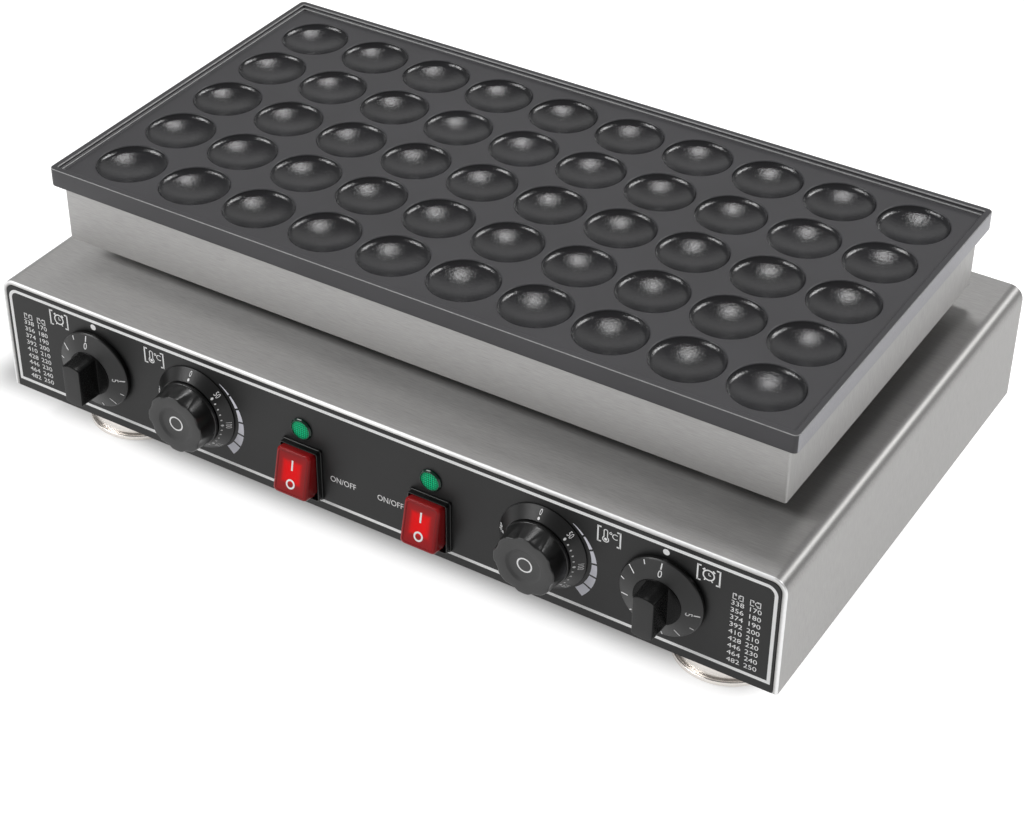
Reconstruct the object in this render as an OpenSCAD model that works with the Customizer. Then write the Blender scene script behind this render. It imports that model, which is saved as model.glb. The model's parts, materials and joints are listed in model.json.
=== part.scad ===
// Countertop baker for small pancakes: a cast plate of round cups over a heater housing,
// standing on a folded sheet base with two timers, two thermostats and two switches.
// Lengths in mm, +X right, +Y to the back, +Z up, the feet stand on z = 0.

/* [Cups] */
// Cups in one row
cup_cols = 10; // [2:2:14]
// Rows of cups
cup_rows = 5; // [1:2:7]
// Distance between cup centres
cup_pitch = 50; // [40:0.5:70]
// Cup diameter at the plate face
cup_d = 45.5; // [30:0.5:60]
// Cup depth below the plate face
cup_depth = 7.5; // [5:0.5:9]

/* [Baking plate] */
// Plate edge beyond the outer cup centres, left and right
plate_margin_x = 37; // [30:0.5:60]
// Plate edge beyond the outer cup centres, front and back
plate_margin_y = 36.5; // [30:0.5:60]
// Rim height above the plate face
rim_h = 3.5; // [2:0.5:8]
// Width of the rim top
rim_w = 4.2; // [3:0.1:8]
// Height of the plate edge from rim top to its lower edge
skirt_h = 12.7; // [10:0.1:20]
// Plate thickness under the face, over the heaters
plate_t = 12.2; // [11:0.1:20]
// Plan corner radius of the plate
plate_corner_r = 3.5; // [3.2:0.1:12]

/* [Heater housing] */
// Housing wall set in from the plate edge
house_inset = 6; // [4:0.5:12]
// Housing wall height
house_h = 40; // [34:0.5:70]
// Open gap between housing and base
house_gap = 16; // [12:0.5:40]
// Housing sheet thickness
house_t = 1.2; // [0.8:0.1:2]

/* [Base] */
// Base width beyond the plate, each side
base_over_x = 18; // [10:0.5:40]
// Base depth
base_d = 341; // [320:1:460]
// Base height without feet
base_h = 83; // [80:0.5:120]
// Outside radius of the folded top edges
bend_r = 9.5; // [5:0.5:16]
// Base sheet thickness
sheet = 1.5; // [1:0.1:2]
// Width of the folded edge seen from the front
hem = 3; // [2:0.1:5]
// Plate centre behind the base centre
plate_back = 2.5; // [0:0.5:8]

/* [Feet] */
// Foot height under the base
foot_h = 36; // [20:0.5:60]
// Foot flange diameter
foot_d = 69.6; // [50:0.2:80]
// Foot drum diameter
foot_drum_d = 66.8; // [46:0.2:76]
// Foot flange thickness
foot_rim_h = 4.5; // [3:0.5:8]
// Foot centre in from the base side
foot_in_x = 57.5; // [50:0.5:90]
// Foot centre in from the base front and back
foot_in_y = 56.5; // [52:0.5:90]

/* [Controls] */
// Timer axis from the middle
timer_x = 205.5; // [200:0.5:210]
// Thermostat axis from the middle
thermo_x = 126; // [120:0.5:135]
// Switch and lamp axis from the middle of the pair
switch_x = 46.7; // [36:0.1:60]
// Middle of the switch pair right of the base middle
switch_shift = 1.9; // [-4:0.1:4]
// Knob axis below the base top
knob_down = 42; // [40:0.5:46]
// Switch axis above the base foot
switch_up = 27; // [24:0.5:30]
// Lamp axis above the switch axis
lamp_up = 29.6; // [28:0.2:34]
// Timer dial diameter
dial_d = 54; // [44:0.5:58]
// Timer grip front, from the panel
grip_out = 25; // [20:0.5:34]
// Thermostat scale ring diameter
scale_d = 59; // [54:0.5:62]
// Thermostat knob front, from the panel
knob_out = 22.5; // [18:0.5:32]
// Rocker cap width
rocker_w = 25.2; // [18:0.2:27]
// Rocker cap height
rocker_h = 31; // [24:0.5:33]
// Rocker tilt each way
rocker_tilt = 13.5; // [8:0.5:15]
// Lamp flange diameter
lamp_d = 15.2; // [12:0.2:20]

/* [Fits] */
// Radial play of a turning shaft or pin
run_fit = 0.05; // [0.02:0.01:0.1]
// Free gap between moving and fixed pieces
free_gap = 0.6; // [0.4:0.1:1]
// Assembly clearance of sheet parts
slip = 0.3; // [0.2:0.1:0.6]

/* [Hidden] */
$fn = 64;

plate_w = (cup_cols - 1) * cup_pitch + 2 * plate_margin_x;
plate_d = (cup_rows - 1) * cup_pitch + 2 * plate_margin_y;
house_w = plate_w - 2 * house_inset;
house_d = plate_d - 2 * house_inset;
base_w = plate_w + 2 * base_over_x;

base_z = foot_h;
top_z = base_z + base_h;
house_z = top_z + house_gap;
skirt_z = house_z + house_h;
face_z = skirt_z + skirt_h - rim_h;
under_z = face_z - plate_t;

panel_t = 1;
front_t = 1.5;
front_back = panel_t + front_t;
hem_len = 10;
lip = 14;
flange = 20;

gland_hex = 4;
gland_dome = 16;
gland_out = gland_hex + gland_dome;
gland_bore_r = 5;
gland_thread_r = 9;
gland_x = 180;
gland_z = 34;

mid_y = (grip_out - gland_out) / 2;
front_y = mid_y - base_d / 2;
rear_y = mid_y + base_d / 2;
plate_y = mid_y + plate_back;

knob_z = top_z - knob_down;
switch_z = base_z + switch_up;
function switch_at(s) = switch_shift + s * switch_x;
lamp_z = switch_z + lamp_up;

duct_r = 26;
duct_wall = 2;
duct_in = duct_r - duct_wall;

tie_x = 4 * cup_pitch;
tie_y = 1.9 * cup_pitch;
tie_r = 3;
tie_depth = 3.5;
boss_r = 8;
boss_h = 4;

tube_r = 4;
tube_z = under_z - tube_r;
pass_near = cup_pitch / 2;
pass_far = 1.5 * cup_pitch;
turn_r = cup_pitch / 2;
turn_out = 4.36 * cup_pitch;
turn_in = 1.24 * cup_pitch;
lead_x = 12;
lead_y = 10;
lead_r = 10;
lead_end = top_z - 8;
clamp_t = 3;
clamp_z = under_z - 2 * tube_r - clamp_t;
clamp_xs = [2 * cup_pitch, 4 * cup_pitch];
clamp_w = 16;
clamp_y = cup_pitch;
stud_r = 2.5;
stud_in = 3.2;
nut_h = 4;
blanket_h = 18;
shield_t = 0.8;

shaft_r = 3;
shaft_in = 14;
bush_r = 6;
switch_wall = 1;
pivot_in = 1;
pin_r = 1.5;
cap_front = 14.6;
cap_back = 5;
cap_heel = 3;
collar_out = 4.9;
cavity_w = rocker_w + 0.6;
// Room for the pressed end where it passes the collar.
cavity_h = rocker_h * cos(rocker_tilt) + 0.5
    + 2 * (collar_out + pivot_in + rocker_h / 2 * sin(rocker_tilt)) * tan(rocker_tilt);
barrel_w = cavity_w + 2 * switch_wall;
barrel_h = cavity_h + 2 * switch_wall;
lamp_barrel_r = 5.8;

steel = [0.72, 0.72, 0.71];
dark_steel = [0.5, 0.5, 0.5];
black = [0.09, 0.09, 0.1];
charcoal = [0.25, 0.25, 0.26];
zinc = [0.66, 0.67, 0.7];

// Plan rectangle with round corners.
module rrect(w, d, r) {
    square([w - 2 * r, d], center = true);
    square([w, d - 2 * r], center = true);
    for (x = [-1, 1], y = [-1, 1])
        translate([x * (w / 2 - r), y * (d / 2 - r)]) circle(r);
}

// Front outline of the base: flat foot, two round top corners.
module arch(w, h, r) {
    translate([-w / 2, 0]) square([w, h - r]);
    translate([-w / 2 + r, 0]) square([w - 2 * r, h]);
    for (x = [-1, 1])
        translate([x * (w / 2 - r), h - r]) circle(r);
}

// Puts local x, y, z at right, up and out of the front face, from a point on that face.
module front(x, z) {
    translate([x, front_y, z]) rotate([90, 0, 0]) children();
}

module ring(r_out, r_in, h) {
    difference() {
        cylinder(r = r_out, h = h);
        translate([0, 0, -1]) cylinder(r = r_in, h = h + 2);
    }
}

// Straight rod between two points.
module rod(a, b, r) {
    v = b - a;
    n = norm(v);
    translate(a)
        rotate([0, acos(v[2] / n), atan2(v[1], v[0])])
            cylinder(r = r, h = n);
}

// Rods through a list of points with a slightly fuller ball at each corner.
module path(pts, r) {
    for (i = [0 : len(pts) - 2]) rod(pts[i], pts[i + 1], r);
    for (i = [1 : len(pts) - 2]) translate(pts[i]) sphere(1.3 * r, $fn = 32);
}

function cup_xs() = [for (i = [0 : cup_cols - 1]) (i - (cup_cols - 1) / 2) * cup_pitch];
function cup_ys() = [for (j = [0 : cup_rows - 1]) (j - (cup_rows - 1) / 2) * cup_pitch];
function foot_ys() = [front_y + foot_in_y, rear_y - foot_in_y];

cup_r = cup_d / 2;
cup_lip = 0.6;
cup_fillet = 6;
cup_wall_slope = 65;

// Radius and height where the bowl floor ends and the fillet starts, for a floor slope there.
function bowl_r(slope) = cup_r - cup_fillet * (sin(cup_wall_slope) - sin(slope));
function bowl_h(slope) = -cup_lip - cup_fillet * (cos(slope) - cos(cup_wall_slope));

// Slope at which a parabolic floor runs smoothly into the fillet, by repeated substitution.
function bowl_slope(slope = 20, rounds = 8) = rounds == 0 ? slope
    : bowl_slope(atan(2 * (cup_depth + bowl_h(slope)) / bowl_r(slope)), rounds - 1);

// Cup cutter outline: eased lip, round fillet, bowl-shaped floor.
function cup_outline() =
    let (start = bowl_slope(), fillet_steps = 4, turn = (cup_wall_slope - start) / fillet_steps)
    concat(
        [[0, 2], [cup_r + cup_lip, 2], [cup_r + cup_lip, 0]],
        [for (i = [fillet_steps : -1 : 0])
            [bowl_r(start) + cup_fillet * (sin(start + i * turn) - sin(start)),
             bowl_h(start) + cup_fillet * (cos(start) - cos(start + i * turn))]],
        [for (t = [0.8, 0.6, 0.4, 0.2])
            [bowl_r(start) * t, -cup_depth + (cup_depth + bowl_h(start)) * t * t]],
        [[0, -cup_depth]]);

module base_cover() {
    color(steel) difference() {
        union() {
            front(0, base_z) translate([0, 0, -base_d]) linear_extrude(base_d) difference() {
                arch(base_w, base_h, bend_r);
                translate([0, -1]) arch(base_w - 2 * sheet, base_h - sheet + 1, bend_r - sheet);
            }
            front(0, base_z) translate([0, 0, -hem_len]) linear_extrude(hem_len) difference() {
                arch(base_w, base_h, bend_r);
                translate([0, -1]) arch(base_w - 2 * hem, base_h - hem + 1, bend_r - hem);
            }
            front(0, base_z) translate([0, 0, -base_d]) linear_extrude(sheet) difference() {
                arch(base_w, base_h, bend_r);
                translate([0, -1]) arch(base_w - 2 * lip, base_h - lip + 1, sheet);
            }
            for (x = [-1, 1])
                translate([x * (base_w / 2 - lip / 2), mid_y, base_z + sheet / 2])
                    cube([lip, base_d - 2 * flange - 4, sheet], center = true);
        }
        for (x = [-1, 1], y = [-1, 1])
            translate([x * tie_x, plate_y + y * tie_y, top_z - 10]) cylinder(r = tie_r + slip, h = 20);
        translate([0, plate_y, top_z - 10]) cylinder(r = duct_in, h = 20);
        cover_screw_places() translate([0, 0, -5]) cylinder(r = screw_r, h = 10);
        rear_screw_places() translate([0, 0, -5]) cylinder(r = screw_r, h = 10);
    }
}

screw_r = 2;
screw_head_r = 3.8;
screw_head_h = 2.2;

// Seats of the bottom screws, on the side flanges and on the front and rear turn-ins.
module cover_screw_places() {
    for (x = [-1, 1], y = [-1, 0, 1])
        translate([x * (base_w / 2 - lip / 2), mid_y + y * base_d * 0.36, base_z]) children();
    for (x = [-1, 1], y = [front_y + flange * 0.6, rear_y - flange * 0.6])
        translate([x * base_w * 0.3, y, base_z]) children();
}

// Seats of the rear screws, on the rear lip, local z pointing out to the back.
module rear_screw_places() {
    for (x = [-1, 1], z = [0.3, 0.7])
        translate([x * (base_w / 2 - lip / 2), rear_y, base_z + base_h * z])
            rotate([-90, 0, 0]) children();
    for (x = [-1, 1])
        translate([x * base_w * 0.25, rear_y, top_z - lip / 2]) rotate([-90, 0, 0]) children();
}

module pan_screw(len) {
    translate([0, 0, -len]) cylinder(r = screw_r, h = len);
    difference() {
        cylinder(r1 = screw_head_r, r2 = screw_head_r - 0.8, h = screw_head_h);
        for (a = [0, 90])
            rotate(a) translate([-2.2, -0.4, screw_head_h - 1.1]) cube([4.4, 0.8, 2]);
    }
}

module cover_screws() {
    color(zinc) cover_screw_places() rotate([180, 0, 0]) pan_screw(2 * sheet + 2);
}

module rear_screws() {
    color(zinc) rear_screw_places() pan_screw(2 * sheet + 2);
}

// Openings for shafts, bushes, switches and lamps, in front coordinates from the base foot.
module control_holes(extra) {
    for (s = [-1, 1]) {
        translate([s * timer_x, knob_z - base_z]) circle(bush_r + extra);
        translate([s * thermo_x, knob_z - base_z]) circle(bush_r + extra);
        translate([switch_at(s), switch_z - base_z])
            square([barrel_w + 2 * extra, barrel_h + 2 * extra], center = true);
        translate([switch_at(s), lamp_z - base_z]) circle(lamp_barrel_r + extra);
    }
}

// Screw places of the four knob units behind the front plate.
module control_screw_places() {
    for (s = [-1, 1], k = [timer_x, thermo_x], a = [45, 225])
        translate([s * k, knob_z - base_z]) rotate(a) translate([control_screw_out, 0]) children();
}

control_screw_out = 17;
control_head_r = 3.4;
control_head_h = 1;
control_screw_len = 8;

module control_panel() {
    color(black) front(0, base_z) translate([0, 0, -panel_t]) linear_extrude(panel_t) difference() {
        arch(base_w - 2 * hem - 2 * slip, base_h - hem - slip, bend_r - hem);
        control_holes(slip);
    }
}

module front_plate() {
    color(dark_steel) difference() {
        union() {
            front(0, base_z) translate([0, 0, -front_back]) linear_extrude(front_t) difference() {
                arch(base_w - 2 * hem - 2 * slip, base_h - hem - slip, bend_r - hem);
                control_holes(slip);
            }
            translate([0, front_y + panel_t + (flange - panel_t) / 2, base_z + sheet / 2])
                cube([base_w - 2 * hem - 2 * slip, flange - panel_t, sheet], center = true);
        }
        front(0, base_z) control_screw_places() translate([0, 0, -panel_t - control_head_h])
            cylinder(r = control_head_r, h = 5);
        front(0, base_z) control_screw_places() translate([0, 0, -10]) cylinder(r = screw_r, h = 20);
        cover_screw_places() translate([0, 0, -5]) cylinder(r = screw_r, h = 10);
    }
}

module control_screws() {
    color(zinc) front(0, base_z) control_screw_places() {
        translate([0, 0, -panel_t - control_head_h]) cylinder(r = control_head_r, h = control_head_h);
        translate([0, 0, -panel_t - control_screw_len]) cylinder(r = screw_r, h = control_screw_len - 0.5);
    }
}

// Blind thread for a control screw, reached from the back of the front plate.
module control_thread() {
    for (a = [45, 225])
        rotate(a) translate([control_screw_out, 0, -panel_t - control_screw_len])
            cylinder(r = screw_r, h = control_screw_len);
}

vent_w = 4;
vent_l = 38;
vent_pitch = 12;
vent_n = 8;

module rear_plate() {
    wide = base_w - 2 * sheet - 2 * slip;
    color(steel) difference() {
        union() {
            front(0, base_z) translate([0, 0, -base_d + sheet]) linear_extrude(front_t)
                arch(wide, base_h - sheet - slip, bend_r - sheet);
            translate([0, rear_y - sheet - (flange - sheet) / 2, base_z + sheet / 2])
                cube([wide, flange - sheet, sheet], center = true);
        }
        for (s = [-1, 1], i = [0 : vent_n - 1])
            translate([s * base_w * 0.17 + (i - (vent_n - 1) / 2) * vent_pitch, rear_y, base_z + base_h * 0.5])
                cube([vent_w, 20, vent_l], center = true);
        translate([gland_x, rear_y, base_z + gland_z]) rotate([90, 0, 0])
            cylinder(r = gland_thread_r, h = 20, center = true);
        cover_screw_places() translate([0, 0, -5]) cylinder(r = screw_r, h = 10);
        rear_screw_places() translate([0, 0, -8]) cylinder(r = screw_r, h = 10);
    }
}

module bottom_plate() {
    y0 = front_y + front_back + slip;
    y1 = rear_y - sheet - front_t - slip;
    color(steel) difference() {
        translate([-base_w / 2 + hem + slip, y0, base_z + sheet])
            cube([base_w - 2 * hem - 2 * slip, y1 - y0, sheet]);
        for (s = [-1, 1], i = [0 : vent_n - 1])
            translate([s * base_w * 0.15 + (i - (vent_n - 1) / 2) * vent_pitch, mid_y, base_z])
                cube([vent_w, vent_l * 2, 20], center = true);
        for (x = [-1, 1], y = foot_ys())
            translate([x * (base_w / 2 - foot_in_x), y, base_z - 5]) cylinder(r = foot_bolt_r, h = 20);
        translate([earth_x, earth_y, base_z - 5]) cylinder(r = tie_r, h = 20);
        cover_screw_places() translate([0, 0, -5]) cylinder(r = screw_r, h = 12);
    }
}

foot_bolt_r = 4;
foot_bolt_in = 20;
foot_clear = 0.8;
pad_h = 2.2;
pad_r = foot_d / 2 - 4;
foot_groove = 0.7;

// One foot: wide flange, shallow groove, drum up to the bottom plate.
module foot(x, y) {
    drum_r = foot_drum_d / 2;
    top = base_z + sheet;
    color(zinc) translate([x, y, 0]) difference() {
        rotate_extrude() polygon([
            [0, foot_clear], [foot_d / 2 - 1, foot_clear], [foot_d / 2, foot_clear + 1],
            [foot_d / 2, foot_rim_h - 0.8], [foot_d / 2 - 0.8, foot_rim_h],
            [drum_r - foot_groove, foot_rim_h], [drum_r - foot_groove, foot_rim_h + foot_groove],
            [drum_r, foot_rim_h + 2 * foot_groove], [drum_r, foot_h * 0.8], [drum_r - 3, top], [0, top]]);
        translate([0, 0, -1]) cylinder(r = pad_r, h = pad_h + 1);
        translate([0, 0, top - foot_bolt_in]) cylinder(r = foot_bolt_r, h = foot_bolt_in + 1);
    }
}

module foot_front_left() { foot(-base_w / 2 + foot_in_x, foot_ys()[0]); }
module foot_front_right() { foot(base_w / 2 - foot_in_x, foot_ys()[0]); }
module foot_rear_left() { foot(-base_w / 2 + foot_in_x, foot_ys()[1]); }
module foot_rear_right() { foot(base_w / 2 - foot_in_x, foot_ys()[1]); }

module foot_pads() {
    color(black) for (x = [-1, 1], y = foot_ys())
        translate([x * (base_w / 2 - foot_in_x), y, 0]) cylinder(r = pad_r, h = pad_h);
}

module foot_bolts() {
    color(zinc) for (x = [-1, 1], y = foot_ys())
        translate([x * (base_w / 2 - foot_in_x), y, base_z + 2 * sheet]) {
            cylinder(r = foot_bolt_r * 1.75, h = foot_bolt_r * 1.3, $fn = 6);
            translate([0, 0, -foot_bolt_in]) cylinder(r = foot_bolt_r, h = foot_bolt_in);
        }
}

module wire_duct() {
    color(steel) translate([0, plate_y, top_z]) ring(duct_r, duct_in, house_gap);
}

pillar_r = 11;

module spacer_pillars() {
    color(steel) for (x = [-1, 1], y = [-1, 1])
        translate([x * tie_x, plate_y + y * tie_y, top_z]) ring(pillar_r, tie_r + slip, house_gap);
}

washer_r = 7;
washer_t = 1.6;
tie_nut_r = 5.6;
tie_nut_h = 5;
tie_below = 12;
tie_low = top_z - sheet - tie_below;

module tie_rods() {
    color(zinc) for (x = [-1, 1], y = [-1, 1])
        translate([x * tie_x, plate_y + y * tie_y, tie_low])
            cylinder(r = tie_r, h = under_z + tie_depth - tie_low);
}

module tie_nuts() {
    color(zinc) for (x = [-1, 1], y = [-1, 1])
        translate([x * tie_x, plate_y + y * tie_y, top_z - sheet]) difference() {
            union() {
                translate([0, 0, -washer_t]) cylinder(r = washer_r, h = washer_t);
                translate([0, 0, -washer_t - tie_nut_h]) cylinder(r = tie_nut_r, h = tie_nut_h, $fn = 6);
            }
            translate([0, 0, -tie_below]) cylinder(r = tie_r, h = 2 * tie_below);
        }
}

module heater_housing() {
    color(steel) translate([0, plate_y, house_z]) difference() {
        linear_extrude(house_h) rrect(house_w, house_d, house_t + 0.4);
        translate([0, 0, house_t]) linear_extrude(house_h)
            rrect(house_w - 2 * house_t, house_d - 2 * house_t, 0.4);
        for (x = [-1, 1], y = [-1, 1])
            translate([x * tie_x, y * tie_y, -1]) cylinder(r = tie_r + slip, h = 10);
        translate([0, 0, -1]) cylinder(r = duct_in, h = 10);
    }
}

// Passages for the tie rods and for the leads, cut through blanket and shield.
module stack_holes() {
    for (x = [-1, 1], y = [-1, 1])
        translate([x * tie_x, y * tie_y, -1]) cylinder(r = tie_r + 1, h = 60);
    translate([0, 0, -1]) cylinder(r = duct_in, h = 60);
}

module insulation_blanket() {
    color([0.9, 0.88, 0.8]) translate([0, plate_y, house_z + house_t]) difference() {
        linear_extrude(blanket_h) rrect(house_w - 2 * house_t - 2, house_d - 2 * house_t - 2, 2);
        stack_holes();
    }
}

module heat_shield() {
    color(zinc) translate([0, plate_y, house_z + house_t + blanket_h]) difference() {
        linear_extrude(shield_t) rrect(house_w - 2 * house_t - 2, house_d - 2 * house_t - 2, 2);
        stack_holes();
    }
}

// Half or quarter turn of tube in the element plane.
module bend(x, y, r, from, sweep) {
    translate([x, y, 0]) rotate(from) rotate_extrude(angle = sweep) translate([r, 0]) circle(tube_r);
}

// One heater of four passes, terminals down through the duct.
module heating_element(s) {
    color([0.42, 0.4, 0.38]) translate([0, plate_y, tube_z]) mirror([s < 0 ? 1 : 0, 0, 0]) {
        for (y = [-1, 1]) {
            rod([lead_x + lead_r, y * pass_far, 0], [turn_out, y * pass_far, 0], tube_r);
            rod([turn_in, y * pass_near, 0], [turn_out, y * pass_near, 0], tube_r);
            bend(turn_out, y * (pass_near + pass_far) / 2, turn_r, -90, 180);
            bend(lead_x + lead_r, y * (pass_far - lead_r), lead_r, y > 0 ? 90 : 180, 90);
            rod([lead_x, y * (pass_far - lead_r), 0], [lead_x, y * lead_y, 0], tube_r);
            translate([lead_x, y * lead_y, lead_end - tube_z])
                cylinder(r = 1.2 * tube_r, h = tube_z - lead_end + 0.9 * tube_r);
        }
        bend(turn_in, 0, turn_r, 90, 180);
    }
}

module heating_element_left() { heating_element(-1); }
module heating_element_right() { heating_element(1); }

module element_clamps() {
    color(zinc) for (s = [-1, 1], x = clamp_xs)
        translate([s * x, plate_y, clamp_z]) difference() {
            translate([0, 0, clamp_t / 2])
                cube([clamp_w, 2 * pass_far + 4 * tube_r, clamp_t], center = true);
            for (y = [-1, 1])
                translate([0, y * clamp_y, -1]) cylinder(r = stud_r, h = clamp_t + 2);
        }
}

module clamp_studs() {
    color(zinc) for (s = [-1, 1], x = clamp_xs, y = [-1, 1])
        translate([s * x, plate_y + y * clamp_y, clamp_z]) {
            translate([0, 0, -nut_h - 1]) cylinder(r = stud_r, h = under_z + stud_in - clamp_z + nut_h + 1);
            translate([0, 0, -nut_h]) cylinder(r = stud_r * 1.85, h = nut_h, $fn = 6);
        }
}

module baking_plate() {
    step = 1.4;
    color(charcoal) translate([0, plate_y, 0]) difference() {
        union() {
            translate([0, 0, skirt_z + 1]) linear_extrude(skirt_h - 1) rrect(plate_w, plate_d, plate_corner_r);
            translate([0, 0, skirt_z]) linear_extrude(1)
                rrect(plate_w - 1.6, plate_d - 1.6, plate_corner_r - 0.8);
            translate([0, 0, under_z]) linear_extrude(plate_t - 1)
                rrect(house_w - 2 * house_t - 3, house_d - 2 * house_t - 3, 2);
            for (x = [-1, 1], y = [-1, 1])
                translate([x * tie_x, y * tie_y, under_z - boss_h]) cylinder(r = boss_r, h = boss_h + 1);
        }
        translate([0, 0, face_z + step]) linear_extrude(10)
            rrect(plate_w - 2 * rim_w, plate_d - 2 * rim_w, plate_corner_r - 2.5);
        translate([0, 0, face_z]) linear_extrude(10)
            rrect(plate_w - 2 * rim_w - 3, plate_d - 2 * rim_w - 3, plate_corner_r - 3);
        for (x = cup_xs(), y = cup_ys())
            translate([x, y, face_z]) rotate_extrude() polygon(cup_outline());
        for (x = [-1, 1], y = [-1, 1])
            translate([x * tie_x, y * tie_y, under_z - 20]) cylinder(r = tie_r, h = 20 + tie_depth);
        for (s = [-1, 1], x = clamp_xs, y = [-1, 1])
            translate([s * x, y * clamp_y, under_z - 20]) cylinder(r = stud_r, h = 20 + stud_in);
    }
}

thermo_box = 40;
thermo_deep = 24;
cap_r = 1.1;
bulb_r = 3;
bulb_l = 1.4 * cup_pitch;

// Thermostat unit behind the front plate, bush out to the panel face.
module thermostat_body(s) {
    color(zinc) front(s * thermo_x, knob_z) difference() {
        union() {
            translate([0, 0, -front_back - thermo_deep / 2])
                cube([thermo_box, thermo_box, thermo_deep], center = true);
            translate([0, 0, -front_back - 1]) cylinder(r = bush_r, h = front_back + 1);
        }
        translate([0, 0, -shaft_in - 0.5]) cylinder(r = shaft_r + run_fit, h = shaft_in + 10);
        control_thread();
    }
}

module thermostat_body_left() { thermostat_body(-1); }
module thermostat_body_right() { thermostat_body(1); }

// Sensor bulb under the plate with its thin tube down the duct to the thermostat.
module thermostat_bulb(s) {
    z_b = under_z - bulb_r;
    z_low = clamp_z - 3;
    z_run = knob_z + 18;
    back_y = front_y + front_back + thermo_deep;
    run_y = back_y + 20;
    x_b = s * 1.6 * cup_pitch;
    x_c = s * 1.48 * cup_pitch;
    x_d = s * 5;
    x_t = s * thermo_x;
    color([0.75, 0.5, 0.32]) {
        rod([x_b, plate_y, z_b], [x_b + s * bulb_l, plate_y, z_b], bulb_r);
        path([[x_b + s * 2, plate_y, z_b], [x_c, plate_y, z_b], [x_c, plate_y, z_low], [x_d, plate_y, z_low],
              [x_d, plate_y, z_run], [x_d, run_y, z_run], [x_t, run_y, z_run], [x_t, back_y, z_run]], cap_r);
    }
}

module thermostat_bulb_left() { thermostat_bulb(-1); }
module thermostat_bulb_right() { thermostat_bulb(1); }

scale_in_r = 19;
scale_top = 7;
knob_r = 22.2;
knob_face_r = 20.4;

// Fixed printed ring around the thermostat knob.
module scale_ring(s) {
    color(charcoal) front(s * thermo_x, knob_z) rotate_extrude() polygon([
        [scale_in_r, 0], [scale_d / 2, 0], [scale_d / 2, 0.9], [knob_r + 0.6, scale_top],
        [scale_in_r, scale_top]]);
}

module scale_ring_left() { scale_ring(-1); }
module scale_ring_right() { scale_ring(1); }

module thermostat_shaft(s) {
    color(zinc) front(s * thermo_x, knob_z) translate([0, 0, -shaft_in])
        cylinder(r = shaft_r, h = shaft_in + knob_out - shaft_cover);
}

module thermostat_shaft_left() { thermostat_shaft(-1); }
module thermostat_shaft_right() { thermostat_shaft(1); }

lobes = 8;
scallop_r = 11;
scallop_cut = 1.3;
scallop_lean = 14;
scallop_up = 3.4;
knob_foot = 2.2;
knob_step = 0.4;
knob_edge = 0.8;
recess_r = 11.8;
recess_in = 1;
recess_depth = 1.6;
shaft_cover = 6;

// Lobed knob: round foot, scallops that lean out and fade above the foot, dished face.
module thermostat_knob(s) {
    foot_z = scale_top + free_gap;
    color(black) front(s * thermo_x, knob_z) difference() {
        union() {
            translate([0, 0, foot_z]) cylinder(r = knob_r, h = knob_foot);
            translate([0, 0, foot_z + knob_foot])
                cylinder(r1 = knob_r - knob_step, r2 = knob_face_r, h = knob_out - foot_z - knob_foot - knob_edge);
            translate([0, 0, knob_out - knob_edge])
                cylinder(r1 = knob_face_r, r2 = knob_face_r - knob_edge, h = knob_edge);
            translate([0, 0, free_gap]) cylinder(r = scale_in_r - 2 * free_gap, h = foot_z);
        }
        for (i = [0 : lobes - 1])
            rotate((i + 0.5) * 360 / lobes)
                translate([knob_face_r + scallop_r - scallop_cut, 0, knob_out])
                    rotate([0, 180 - scallop_lean, 0])
                        translate([0, 0, -5]) cylinder(r = scallop_r, h = knob_out - foot_z - scallop_up + 5);
        translate([0, 0, knob_out - recess_depth])
            cylinder(r1 = recess_r - recess_in, r2 = recess_r + recess_in, h = 2 * recess_depth);
        cylinder(r = shaft_r, h = knob_out - shaft_cover);
    }
}

module thermostat_knob_left() { thermostat_knob(-1); }
module thermostat_knob_right() { thermostat_knob(1); }

timer_box = 50;
timer_deep = 40;

module timer_body(s) {
    color(zinc) front(s * timer_x, knob_z) difference() {
        union() {
            translate([0, 0, -front_back - timer_deep / 2])
                cube([timer_box, timer_box, timer_deep], center = true);
            translate([0, 0, -front_back - 1]) cylinder(r = bush_r, h = front_back + 1);
        }
        translate([0, 0, -shaft_in - 0.5]) cylinder(r = shaft_r + run_fit, h = shaft_in + 10);
        control_thread();
    }
}

module timer_body_left() { timer_body(-1); }
module timer_body_right() { timer_body(1); }

module timer_shaft(s) {
    color(zinc) front(s * timer_x, knob_z) translate([0, 0, -shaft_in])
        cylinder(r = shaft_r, h = shaft_in + grip_out - 7);
}

module timer_shaft_left() { timer_shaft(-1); }
module timer_shaft_right() { timer_shaft(1); }

dial_top = 8;
hub_r = 15.5;
grip_w = 14.5;

// Timer dial: turned edge and printed cone.
module timer_dial(s) {
    color(charcoal) front(s * timer_x, knob_z) rotate_extrude() polygon([
        [shaft_r, free_gap + 0.4], [dial_d / 2 - 0.6, free_gap + 0.4], [dial_d / 2, free_gap + 1],
        [dial_d / 2, 3.4], [dial_d / 2 - 0.6, 4], [hub_r, dial_top], [shaft_r, dial_top]]);
}

module timer_dial_left() { timer_dial(-1); }
module timer_dial_right() { timer_dial(1); }

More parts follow.
